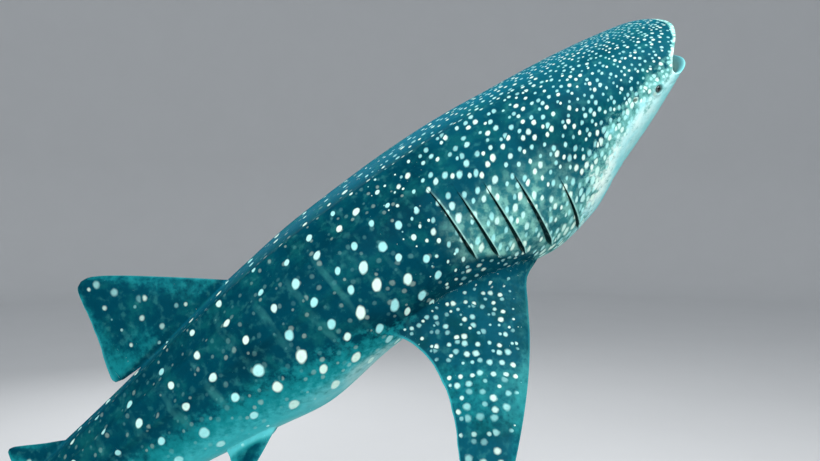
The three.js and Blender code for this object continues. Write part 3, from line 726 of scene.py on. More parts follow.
@dataclass
class FinForm:
    """A fin's outline: rows of height, leading edge, trailing edge and thickness, as shares of the length."""

    rows: tuple
    tall: int
    chord: int
    flare: float
    flare_height: float
    edge_thickness: float = 0.0009
    ragged: float = 0.0002

    def surface(self) -> tuple[Array, Array, Array, Array]:
        """The fin flat: a foil with a round leading edge, thickest a third back, flared at its root.

        Half the thickness is the row's own times the square root of the share times 1 less the share, and a
        thin even edge is added.

        Returns:
            Arrays of distance back, height, half thickness to either side, and share of the chord.
        """
        leading, trailing, thickness = columns(self.rows, 1, 2, 3)
        bottom, top = self.rows[0][0], self.rows[-1][0]
        spread = np.linspace(0.0, 1.0, self.tall)
        height = bottom + (top - bottom) * np.sin(spread * math.pi / 2.0) ** 1.1
        turn = np.linspace(0.0, 2.0 * math.pi, 2 * self.chord, endpoint=False)
        share = 0.5 * (1.0 - np.cos(turn))
        h, a = np.meshgrid(height, turn, indexing="ij")
        share = np.broadcast_to(share, h.shape)
        side = np.where(a <= math.pi, 1.0, -1.0) * np.where(np.abs(np.sin(a)) < 1e-9, 0.0, 1.0)
        front, rear = leading(h), trailing(h)
        wave = np.sin(h * LENGTH * 46.0) + 0.6 * np.sin(h * LENGTH * 101.0 + 1.3)
        rear = rear + self.ragged * wave * smoothstep(h, 0.0, 0.02) * fall(h, 0.9 * top, top)
        foil = 2.598 * np.sqrt(share) * (1.0 - share)
        thick = thickness(h) + self.flare * np.exp(-np.maximum(h, -0.004) / self.flare_height)
        rounding = np.sqrt(np.clip(share * (1.0 - share) * 4.0, 0.0, 1.0))
        half = 0.5 * thick * foil + 0.5 * self.edge_thickness * rounding
        return front + share * (rear - front), h, half * side, share

    def marks(self, back: Array, height: Array, share: Array, under: Array | float) -> dict:
        """Values kept on a fin: metres across and out along its middle line, its underside and rear edge."""
        rows = np.asarray(self.rows)
        root = rows[np.argmin(np.abs(rows[:, 0]))]
        tip = rows[-1]
        run = np.array([0.5 * (tip[1] + tip[2]) - 0.5 * (root[1] + root[2]), tip[0]])
        run /= np.linalg.norm(run)
        middle = back - 0.5 * (root[1] + root[2])
        return {
            "fin_along": (middle * run[1] - height * run[0]) * LENGTH + FIN_MARK,
            "fin_across": (middle * run[0] + height * run[1]) * LENGTH,
            "under": under + 0.0 * share,
            "edge": share,
        }


@dataclass
class MidlineFin:
    """A fin on the back or under the belly."""

    form: FinForm
    root: float
    sign: float
    slope: float = 0.0

    def build(self, body: BodyForm) -> Grid:
        """The fin stood on the body's outline at its root station, following the outline's slope."""
        back, height, side, share = self.form.surface()
        edge = body.back(self.root) if self.sign > 0 else body.belly(self.root)
        up = self.sign * (edge + height - self.slope * back) * LENGTH
        marks = self.form.marks(back, height, share, 0.0)
        return Grid(self.root + back, side * LENGTH, up, marks)


@dataclass
class TailFin:
    """The upright tail fin, from the tip of its lower lobe to the tip of its upper one."""

    form: FinForm
    root: float

    def build(self) -> Grid:
        """The fin with its heights measured from the spine."""
        back, height, side, share = self.form.surface()
        marks = self.form.marks(back, height, share, 0.0)
        return Grid(self.root + back, side * LENGTH, height * LENGTH, marks)


@dataclass
class PairedFin:
    """A fin of a pair: it leans down from level, and its root climbs and spreads out behind its front end.

    The left fin's tip is swung forward by a share of its height.
    """

    form: FinForm
    station: float
    left: float
    up: float
    lean: float
    climb: float
    splay: float
    swing: float = 0.0

    def build(self, sign: float) -> Grid:
        """The fin on one side.

        Args:
            sign: 1 for the left side and -1 for the right.

        Returns:
            Its closed grid.
        """
        across, down = math.cos(math.radians(self.lean)), math.sin(math.radians(self.lean))
        back, height, side, share = self.form.surface()
        y = self.left + across * height + down * side + self.splay * back
        z = self.up - down * height + across * side + self.climb * back
        under = smoothstep(-side, -0.0004, 0.0012)
        forward = self.swing * np.maximum(height, 0.0) if sign > 0 else 0.0
        station = self.station + back - forward
        marks = self.form.marks(back, height, share, under)
        return Grid(station, sign * y * LENGTH, z * LENGTH, marks)


PECTORAL_ROWS = (
    (-0.03, 0.004, 0.13, 0.03),
    (-0.004, -0.014, 0.148, 0.028),
    (0.006, 0.004, 0.139, 0.0235),
    (0.0155, 0.022, 0.134, 0.019),
    (0.036, 0.0365, 0.1295, 0.0152),
    (0.058, 0.051, 0.1315, 0.0125),
    (0.082, 0.0695, 0.1385, 0.01),
    (0.1075, 0.0925, 0.1505, 0.008),
    (0.132, 0.1175, 0.163, 0.0062),
    (0.15, 0.138, 0.172, 0.0048),
    (0.1585, 0.1505, 0.1752, 0.0038),
    (0.162, 0.158, 0.1742, 0.003),
    (0.1636, 0.1635, 0.1705, 0.0022),
)
FIRST_DORSAL_ROWS = (
    (-0.02, -0.006, 0.108, 0.014),
    (0.0, -0.003, 0.111, 0.013),
    (0.004, 0.001, 0.114, 0.012),
    (0.0058, 0.0028, 0.1315, 0.0115),
    (0.009, 0.006, 0.1395, 0.0105),
    (0.014, 0.011, 0.1412, 0.0098),
    (0.021, 0.018, 0.1393, 0.009),
    (0.052, 0.05, 0.128, 0.0065),
    (0.078, 0.078, 0.121, 0.0048),
    (0.0915, 0.0945, 0.1175, 0.0036),
    (0.096, 0.102, 0.1145, 0.0026),
    (0.0972, 0.1065, 0.1105, 0.0018),
)
SECOND_DORSAL_ROWS = (
    (-0.01, -0.002, 0.038, 0.0055),
    (0.0, -0.001, 0.039, 0.005),
    (0.003, 0.003, 0.06, 0.0045),
    (0.013, 0.019, 0.056, 0.0034),
    (0.027, 0.04, 0.053, 0.0024),
    (0.0303, 0.0455, 0.0518, 0.0018),
    (0.0312, 0.0482, 0.0498, 0.0014),
)
ANAL_ROWS = (
    (-0.01, -0.002, 0.032, 0.0055),
    (0.0, 0.0, 0.033, 0.005),
    (0.003, 0.004, 0.05, 0.0045),
    (0.014, 0.021, 0.047, 0.0034),
    (0.026, 0.037, 0.047, 0.0024),
    (0.0303, 0.0425, 0.0468, 0.0018),
    (0.0312, 0.0448, 0.0458, 0.0014),
)
PELVIC_ROWS = (
    (-0.014, 0.0, 0.046, 0.008),
    (0.0, 0.0, 0.048, 0.0075),
    (0.006, 0.006, 0.058, 0.0065),
    (0.02, 0.02, 0.057, 0.0048),
    (0.034, 0.035, 0.056, 0.0034),
    (0.0395, 0.0425, 0.0545, 0.0026),
    (0.0413, 0.0465, 0.0515, 0.0018),
)
TAIL_ROWS = (
    (-0.125, 0.0955, 0.0985, 0.002),
    (-0.121, 0.0905, 0.1005, 0.0032),
    (-0.105, 0.076, 0.1, 0.005),
    (-0.07, 0.047, 0.096, 0.008),
    (-0.035, 0.021, 0.0955, 0.0115),
    (-0.015, 0.01, 0.097, 0.015),
    (0.0, 0.006, 0.1, 0.0185),
    (0.012, 0.006, 0.103, 0.02),
    (0.03, 0.016, 0.106, 0.0165),
    (0.06, 0.047, 0.122, 0.012),
    (0.1, 0.097, 0.158, 0.0086),
    (0.14, 0.155, 0.2, 0.0058),
    (0.165, 0.196, 0.2245, 0.004),
    (0.174, 0.214, 0.2325, 0.003),
    (0.178, 0.224, 0.2315, 0.0018),
)


class Bench:
    """Puts together one material's nodes, a line at a time."""

    def __init__(self, name: str) -> None:
        """Starts a material with its surface shader."""
        self.material = bpy.data.materials.new(name)
        self.material.use_nodes = True
        self.tree = self.material.node_tree
        self.shader = self.tree.nodes["Principled BSDF"]

    def node(self, kind: str, **settings: object) -> bpy.types.Node:
        """A new node of a kind, with its options set."""
        made = self.tree.nodes.new(kind)
        for key, value in settings.items():
            setattr(made, key, value)
        return made

    def feed(self, socket: Socket, value: object) -> None:
        """Links an output to a socket, or writes a plain value into it."""
        if isinstance(value, Socket):
            self.tree.links.new(value, socket)
        else:
            socket.default_value = value

    def hold(self, node: bpy.types.Node, values: tuple) -> None:
        """Writes pairs of socket name and plain value straight into a node's own sockets."""
        for name, value in values:
            node.inputs[name].default_value = value

    def mark(self, name: str, vector: bool = False) -> Socket:
        """The value kept on the mesh under a name."""
        made = self.node("ShaderNodeAttribute", attribute_name=name)
        return made.outputs["Vector" if vector else "Fac"]

    def solid_place(self) -> Socket:
        """The place in the piece's own metres."""
        return self.node("ShaderNodeTexCoord").outputs["Object"]

    def sum(self, operation: str, *values: object, clamp: bool = False) -> Socket:
        """One step of arithmetic."""
        made = self.node("ShaderNodeMath", operation=operation, use_clamp=clamp)
        for socket, value in zip(made.inputs, values):
            self.feed(socket, value)
        return made.outputs[0]

    def times(self, first: object, second: object) -> Socket:
        """Two values multiplied."""
        return self.sum("MULTIPLY", first, second)

    def vector(self, operation: str, first: object, second: object) -> Socket:
        """One step of arithmetic on rows of three."""
        made = self.node("ShaderNodeVectorMath", operation=operation)
        self.feed(made.inputs[0], first)
        self.feed(made.inputs[1], second)
        return made.outputs["Vector"]

    def step(self, value: object, start: object, end: object) -> Socket:
        """A smooth rise from 0 at start to 1 at end."""
        made = self.node("ShaderNodeMapRange", interpolation_type="SMOOTHSTEP", clamp=True)
        for name, number in (("Value", value), ("From Min", start), ("From Max", end)):
            self.feed(made.inputs[name], number)
        return made.outputs["Result"]

    def rise(self, value: object, start: float, end: float, most: float) -> Socket:
        """A smooth rise from 0 at start to the most at end."""
        return self.times(self.step(value, start, end), most)

    def mix(self, share: object, first: object, second: object) -> Socket:
        """Two colours mixed by a share, which is read as 0 to 1."""
        made = self.node("ShaderNodeMix", data_type="RGBA", blend_type="MIX", clamp_factor=True)
        for socket, value in ((made.inputs[0], share), (made.inputs[6], first), (made.inputs[7], second)):
            self.feed(socket, value)
        return made.outputs[2]

    def noise(self, place: Socket, scale: float, detail: float = 3.0, rough: float = 0.55) -> Socket:
        """Soft random shades from 0 to 1."""
        made = self.node("ShaderNodeTexNoise")
        self.feed(made.inputs["Vector"], place)
        self.hold(made, (("Scale", scale), ("Detail", detail), ("Roughness", rough)))
        return made.outputs["Fac"]

    def scaled(self, place: Socket, scale: tuple) -> Socket:
        """A place stretched along its three directions."""
        made = self.node("ShaderNodeMapping")
        self.feed(made.inputs["Vector"], place)
        self.hold(made, (("Scale", scale),))
        return made.outputs["Vector"]

    def bumps(self, height: object, distance: float, strength: float, after: object = None) -> Socket:
        """A small relief on the surface, over an earlier one."""
        made = self.node("ShaderNodeBump")
        self.hold(made, (("Distance", distance), ("Strength", strength)))
        self.feed(made.inputs["Height"], height)
        if after is not None:
            self.feed(made.inputs["Normal"], after)
        return made.outputs["Normal"]


def colour(red: float, green: float, blue: float) -> tuple[float, float, float, float]:
    """A colour given as 0 to 255 on a screen, as light values."""
    parts = [value / 255.0 for value in (red, green, blue)]
    linear = [p / 12.92 if p <= 0.04045 else ((p + 0.055) / 1.055) ** 2.4 for p in parts]
    return (linear[0], linear[1], linear[2], 1.0)


@dataclass(frozen=True)
class SpotPattern:
    """One family of pale spots on a loose net, whose steps and spot sizes are kept on the mesh.

    A mesh value named NAME_net counts the net's steps along and around, NAME_step gives their sizes in
    metres, and NAME_spot is the spots' radius in metres.

    Fields: stray is how far a spot lies off its net point, uneven how much the sizes differ, soft the rim's
    softness, vary how much the strengths differ, and gap the distance from a spot's neighbour where it fades.
    """

    name: str
    stray: float
    uneven: float
    soft: float
    vary: float
    gap: float = 0.13
    wobble: tuple = (0.6, 0.7)
    wobble_scale: tuple = (3.1, 3.1, 1.0)
    least_rim: float = 0.0004

    def cells(self, bench: Bench, net: Socket, feature: str) -> bpy.types.Node:
        """Cells about the net's points, each point moved at random within its own."""
        made = bench.node("ShaderNodeTexVoronoi", voronoi_dimensions="2D", feature=feature)
        bench.feed(made.inputs["Vector"], net)
        bench.hold(made, (("Scale", 1.0), ("Randomness", self.stray)))
        return made

    def shade(self, bench: Bench) -> tuple[Socket, Socket]:
        """Spots as round discs about the net's points, with an uneven rim.

        Args:
            bench: The material that gets them.

        Returns:
            The spots' strength, 1 inside a spot, and each spot's own random share.
        """
        net = bench.mark(self.name + "_net", vector=True)
        cells = self.cells(bench, net, "F1")
        away = bench.vector("SUBTRACT", net, cells.outputs["Position"])
        away = bench.vector("MULTIPLY", away, bench.mark(self.name + "_step", vector=True))
        distance = bench.node("ShaderNodeVectorMath", operation="LENGTH")
        bench.feed(distance.inputs[0], away)
        chance = bench.node("ShaderNodeSeparateColor")
        bench.feed(chance.inputs["Color"], cells.outputs["Color"])
        size = bench.sum("MULTIPLY_ADD", chance.outputs["Red"], self.uneven, 1.0 - 0.5 * self.uneven)
        wobble = bench.noise(bench.scaled(net, self.wobble_scale), 1.0, 1.0)
        size = bench.times(size, bench.sum("MULTIPLY_ADD", wobble, *self.wobble))
        radius = bench.times(size, bench.mark(self.name + "_spot"))
        inner = bench.times(radius, 1.0 - self.soft)
        outer = bench.sum("ADD", bench.times(radius, 1.0 + self.soft), self.least_rim)
        far = bench.step(distance.outputs["Value"], inner, outer)
        borders = self.cells(bench, net, "DISTANCE_TO_EDGE")
        apart = bench.step(borders.outputs["Distance"], 0.0, self.gap)
        disc = bench.times(bench.sum("SUBTRACT", 1.0, far, clamp=True), apart)
        return disc, chance.outputs["Green"]


@dataclass(frozen=True)
class SharkSkin:
    """The skin: dark blue-green with pale spots and faint bars, pale below, fine grain all over.

    Grains give each kind of noise its scale, detail and roughness. A rise gives the noise shades where a tone
    starts and is full, and the tone's most.
    """

    trunk: tuple = colour(0, 60, 76)
    head: tuple = colour(10, 78, 94)
    deep: tuple = colour(0, 40, 54)
    green: tuple = colour(20, 104, 102)
    fleck: tuple = colour(64, 148, 144)
    # Painted light: a bluer, lighter tone along the back where light from above falls.
    crest: tuple = colour(22, 118, 142)
    gill: tuple = colour(58, 132, 134)
    jaw_side: tuple = colour(92, 158, 152)
    socket: tuple = colour(70, 128, 126)
    flank: tuple = colour(20, 128, 134)
    plate: tuple = colour(144, 210, 194)
    belly: tuple = colour(68, 190, 196)
    cheek: tuple = colour(226, 248, 240)
    shallow: tuple = colour(134, 214, 220)
    spot: tuple = colour(178, 250, 248)
    cream: tuple = colour(236, 250, 228)
    dim_spot: tuple = colour(120, 196, 194)
    # Pale tint for the painted highlight on the slits' flap edges and for the mouth's tooth band.
    edge_light_and_teeth_tint: tuple = colour(168, 226, 216)
    inside: tuple = colour(84, 146, 152)
    # Painted shade for the slits, the throat, the pits and inside the lids.
    dark: tuple = colour(0, 38, 46)
    dense: SpotPattern = SpotPattern("dense", 0.75, 0.60, 0.38, 0.5)
    wide: SpotPattern = SpotPattern("wide", 0.28, 0.45, 0.24, 0.3)
    dust: SpotPattern = SpotPattern("dust", 0.95, 0.8, 0.4, 0.6)
    fins: SpotPattern = SpotPattern("fin", 0.85, 0.8, 0.46, 0.7)
    grains: tuple = (
        ("cloud", (2.6, 4.0)),
        ("patch", (8.0, 5.0, 0.65)),
        ("flecks", (26.0, 3.0, 0.5)),
        ("fine", (60.0, 4.0, 0.62)),
    )
    deep_rise: tuple = (0.46, 0.68, 0.6)
    green_rise: tuple = (0.46, 0.72, 0.46)
    fleck_rise: tuple = (0.52, 0.74, 0.22)
    plate_rise: tuple = (0.40, 0.64, 0.9)
    grain_rise: tuple = (0.4, 0.8, 0.16)
    cream_rise: tuple = (0.3, 0.9, 0.7)
    gill_span: tuple = (0.1, 0.65)
    clouded_span: tuple = (0.44, 0.62)
    shallow_span: tuple = (0.45, 0.68)
    half_tone_span: tuple = (0.04, 0.5)
    full_tone_span: tuple = (0.42, 1.0)
    bar_strength: float = 0.34
    dust_strength: float = 0.24
    wide_strength: float = 0.95
    # Strength of the painted slit highlight and of the tooth band.
    edge_light_and_teeth_strength: float = 0.7
    roughness: tuple = (0.25, 0.46)
    gloss: tuple = (("Specular IOR Level", 0.0), ("Coat Weight", 0.02), ("Coat Roughness", 0.3))

    def dress(self) -> bpy.types.Material:
        """Mixes the colours by the values kept on the skin."""
        bench = Bench("shark_skin")
        place = bench.mark("skin_place", vector=True)
        solid_place = bench.solid_place()
        shades = {name: bench.noise(solid_place, *grain) for name, grain in self.grains}
        base = self.above(bench, place, shades)
        base = self.below(bench, base, shades)
        base = self.spotted(bench, base)
        base = bench.mix(bench.mark("socket"), base, self.socket)
        base = bench.mix(bench.mark("rim"), base, self.belly)
        base = bench.mix(bench.rise(shades["fine"], *self.grain_rise), base, self.deep)
        base = bench.mix(bench.mark("mouth"), base, self.inside)
        # Painted highlight along the slits' flap edges, and the mouth's real pale tooth band.
        base = bench.mix(bench.times(bench.mark("edge_light_and_teeth"), self.edge_light_and_teeth_strength), base, self.edge_light_and_teeth_tint)
        # Painted shade in the cavities: slits, throat, pits and inside the lids.
        base = bench.mix(bench.mark("cavity_shade"), base, self.dark)
        bench.feed(bench.shader.inputs["Base Color"], base)
        roughness = bench.sum("MULTIPLY_ADD", shades["patch"], *self.roughness)
        bench.feed(bench.shader.inputs["Roughness"], roughness)
        bench.hold(bench.shader, self.gloss)
        bench.feed(bench.shader.inputs["Normal"], self.relief(bench, solid_place, place))
        return bench.material

    def above(self, bench: Bench, place: Socket, shades: dict[str, Socket]) -> Socket:
        """The dark upper side: trunk and head colours, darker and greener clouds, painted light from above
        along the back, bars and paler gill plates.

        Args:
            bench: The material.
            place: The place on the unrolled skin.
            shades: The noises by name.

        Returns:
            The colour.
        """
        patch, flecks = shades["patch"], shades["flecks"]
        base = bench.mix(bench.mark("shade"), self.trunk, self.head)
        base = bench.mix(bench.rise(shades["cloud"], *self.deep_rise), base, self.deep)
        # Painted light from above along the back.
        base = bench.mix(bench.mark("crest"), base, self.crest)
        base = bench.mix(bench.rise(patch, *self.green_rise), base, self.green)
        base = bench.mix(bench.rise(flecks, *self.fleck_rise), base, self.fleck)
        base = bench.mix(bench.times(self.bars(bench, place), bench.mark("bars")), base, self.fleck)
        clouded = bench.times(bench.mark("clouded"), bench.step(patch, *self.clouded_span))
        base = bench.mix(clouded, base, self.deep)
        plates = bench.times(bench.mark("gill"), bench.step(patch, *self.gill_span))
        gill = bench.mix(bench.rise(flecks, *self.plate_rise), self.gill, self.plate)
        return bench.mix(plates, base, gill)

    def below(self, bench: Bench, base: Socket, shades: dict[str, Socket]) -> Socket:
        """The pale underside, which comes in through a ragged half tone: near white at the head, aqua behind.

        The pale value is moved by a mottle: 1.5 times the flecks and 1.3 times the fine grain about their
        middles, and 0.7 times the patches less 0.35.

        Args:
            bench: The material.
            base: The upper side's colour.
            shades: The noises by name.

        Returns:
            The colour with the underside mixed in.
        """
        white = bench.mark("white")
        mottle = bench.sum("MULTIPLY_ADD", bench.sum("SUBTRACT", shades["flecks"], 0.5), 1.5, -0.35)
        mottle = bench.sum("MULTIPLY_ADD", bench.sum("SUBTRACT", shades["fine"], 0.5), 1.3, mottle)
        mottle = bench.sum("MULTIPLY_ADD", shades["patch"], 0.7, mottle)
        weight = bench.times(bench.mark("blend"), bench.step(bench.mark("pale"), 0.0, 0.2))
        pale = bench.sum("MULTIPLY_ADD", mottle, weight, bench.mark("pale"))
        half_tone = bench.mix(white, self.flank, self.jaw_side)
        base = bench.mix(bench.step(pale, *self.half_tone_span), base, half_tone)
        cheek = bench.mix(bench.step(shades["cloud"], *self.shallow_span), self.cheek, self.shallow)
        full_tone = bench.mix(white, self.belly, cheek)
        return bench.mix(bench.step(pale, *self.full_tone_span), base, full_tone)

    def spotted(self, bench: Bench, base: Socket) -> Socket:
        """The four families of spots, each spot with a strength and a warmth of its own."""
        for pattern, strength, tint in (
            (self.dust, self.dust_strength, self.dim_spot),
            (self.dense, bench.mark("dense_bright"), self.spot),
            (self.wide, self.wide_strength, self.spot),
            (self.fins, bench.mark("fin_bright"), self.spot),
        ):
            disc, own = pattern.shade(bench)
            tint = bench.mix(bench.rise(own, *self.cream_rise), tint, self.cream)
            own = bench.sum("MULTIPLY_ADD", own, pattern.vary, 1.0 - pattern.vary)
            base = bench.mix(bench.times(bench.times(disc, own), strength), base, tint)
        return base

    def bars(self, bench: Bench, place: Socket) -> Socket:
        """Faint upright bars between the columns of spots: a cosine along the wide net, broken up."""
        apart = bench.node("ShaderNodeSeparateXYZ")
        bench.feed(apart.inputs[0], bench.mark("wide_net", vector=True))
        waver = bench.noise(bench.scaled(place, (2.0, 4.0, 1.0)), 1.6, 2.0)
        along = bench.sum("MULTIPLY_ADD", apart.outputs["X"], 2.0 * math.pi, math.pi)
        along = bench.sum("MULTIPLY_ADD", waver, 1.8, along)
        crest = bench.step(bench.sum("COSINE", along), 0.66, 1.0)
        broken = bench.step(bench.noise(bench.scaled(place, (7.0, 4.0, 1.0)), 1.3, 3.0), 0.40, 0.7)
        return bench.times(bench.times(crest, broken), self.bar_strength)

    def relief(self, bench: Bench, solid_place: Socket, place: Socket) -> Socket:
        """Fine grain of the hide, shallow dents and faint creases round the body."""
        grain = bench.bumps(bench.noise(solid_place, 420.0, 2.0), 0.0008, 0.3)
        dents = bench.bumps(bench.noise(solid_place, 26.0, 4.0, 0.6), 0.004, 0.3, grain)
        creases = bench.noise(bench.scaled(place, (34.0, 4.5, 1.0)), 1.0, 3.0, 0.6)
        return bench.bumps(creases, 0.004, 0.28, dents)


@dataclass(frozen=True)
class EyeFinish:
    """A wet dark eye with a narrow silvery ring about its pupil.

    A ring's span says between which gaze values it comes in: 1 is straight out of the eye, 0 its equator.
    """

    pupil: tuple = colour(3, 5, 7)
    ring: tuple = colour(66, 84, 84)
    iris: tuple = colour(16, 28, 32)
    rim: tuple = colour(6, 12, 15)
    iris_span: tuple = (0.52, 0.62)
    ring_span: tuple = (0.80, 0.85)
    ring_end: tuple = (0.88, 0.91)
    pupil_span: tuple = (0.885, 0.905)
    gloss: tuple = (
        ("Roughness", 0.08),
        ("Specular IOR Level", 0.25),
        ("Coat Weight", 0.5),
        ("Coat Roughness", 0.02),
    )

    def dress(self) -> bpy.types.Material:
        """Rings of colour by how far a point looks away from the eye's own axis."""
        bench = Bench("eye")
        gaze = bench.mark("gaze")
        streaks = bench.noise(bench.solid_place(), 260.0, 3.0)
        iris = bench.mix(bench.step(streaks, 0.35, 0.7), self.iris, self.ring)
        base = bench.mix(bench.step(gaze, *self.iris_span), self.rim, iris)
        inner = bench.sum("SUBTRACT", 1.0, bench.step(gaze, *self.ring_end))
        ring = bench.times(bench.step(gaze, *self.ring_span), inner)
        base = bench.mix(ring, base, self.ring)
        base = bench.mix(bench.step(gaze, *self.pupil_span), base, self.pupil)
        bench.feed(bench.shader.inputs["Base Color"], base)
        bench.hold(bench.shader, self.gloss)
        return bench.material


@dataclass(frozen=True)
class StandFinish:
    """Dark powder-coated steel: even colour, fine orange-peel relief and a few duller patches."""

    name: str
    shade: tuple
    roughness: float
    metal: float
    dull_rise: tuple = (0.45, 0.8, 0.35)

    def dress(self) -> bpy.types.Material:
        """Mixes the paint's shade, its dull patches and its relief."""
        bench = Bench(self.name)
        place = bench.solid_place()
        patch = bench.noise(place, 4.0, 4.0)
        worn = tuple(min(1.0, part * 1.5 + 0.01) for part in self.shade[:3]) + (1.0,)
        base = bench.mix(bench.rise(patch, *self.dull_rise), self.shade, worn)
        bench.feed(bench.shader.inputs["Base Color"], base)
        bench.hold(bench.shader, (("Metallic", self.metal),))
        roughness = bench.sum("MULTIPLY_ADD", patch, 0.2, self.roughness - 0.1)
        bench.feed(bench.shader.inputs["Roughness"], roughness)
        peel = bench.bumps(bench.noise(place, 380.0, 2.0), 0.0006, 0.25)
        bench.feed(bench.shader.inputs["Normal"], peel)
        return bench.material


@dataclass(frozen=True)
class StudioFinish:
    """Matt pale paint for the floor and the backdrop."""

    shade: tuple = (0.74, 0.75, 0.76, 1.0)
    roughness: float = 0.85

    def dress(self) -> bpy.types.Material:
        """A matt pale surface with a barely uneven shade."""
        bench = Bench("studio_floor")
        darker = tuple(part * 0.96 for part in self.shade[:3]) + (1.0,)
        base = bench.mix(bench.noise(bench.solid_place(), 0.8), self.shade, darker)
        bench.feed(bench.shader.inputs["Base Color"], base)
        bench.hold(bench.shader, (("Roughness", self.roughness),))
        return bench.material


@dataclass(frozen=True)
class Net:
    """A spot family's sizes along the body.

    Rows hold the station, the steps along and around, and the spots' radii high and low, in metres.
    """

    rows: tuple
    low_from: float = 0.25
    low_to: float = 0.75

    def steps(self, s: Array) -> tuple[Array, Array]:
        """The net's step along and around the body at stations."""
        along, around = columns(self.rows, 1, 2)
        return along(s), around(s)

    def count(self, s: Array) -> Array:
        """How many steps of the net lie between the snout and a station."""
        stations = np.linspace(-0.05, 1.1, 1151)
        along = self.steps(stations)[0]
        total = np.cumsum(0.001 * LENGTH / along)
        return np.interp(s, stations, total)

    def radius(self, s: Array, girth: Array) -> Array:
        """The spots' radius: it grows down the flank."""
        high, low = columns(self.rows, 3, 4)
        return high(s) + (low(s) - high(s)) * smoothstep(girth, self.low_from, self.low_to)


DENSE_NET = Net(
    (
        (0.0, 0.026, 0.024, 0.0048, 0.0050),
        (0.05, 0.029, 0.026, 0.0053, 0.0058),
        (0.1, 0.034, 0.033, 0.0062, 0.0073),
        (0.15, 0.042, 0.042, 0.0075, 0.0093),
        (0.2, 0.051, 0.052, 0.0087, 0.0113),
        (0.27, 0.066, 0.068, 0.0102, 0.0136),
    )
)
WIDE_NET = Net(
    (
        (0.22, 0.084, 0.086, 0.0108, 0.0152),
        (0.3, 0.114, 0.100, 0.0126, 0.0182),
        (0.38, 0.170, 0.122, 0.0138, 0.0216),
        (0.45, 0.205, 0.130, 0.0143, 0.0230),
        (0.6, 0.205, 0.125, 0.0140, 0.0212),
        (0.8, 0.170, 0.110, 0.0115, 0.0165),
    )
)
DUST_NET = Net(((0.0, 0.066, 0.066, 0.0074, 0.0086), (1.0, 0.072, 0.072, 0.0074, 0.0094)))


@dataclass
class SkinReading:
    """What each point of the skin is: its place on the straight body, and its share of fin and shoulder."""

    s: Array
    angle: Array
    girth: Array
    outside: Array
    right: Array
    values: dict
    has_fin: Array
    on_fin: Array
    pectoral: Array
    shoulder: Array

    @property
    def body(self) -> Array:
        """How far each point belongs to the body."""
        return 1.0 - self.on_fin


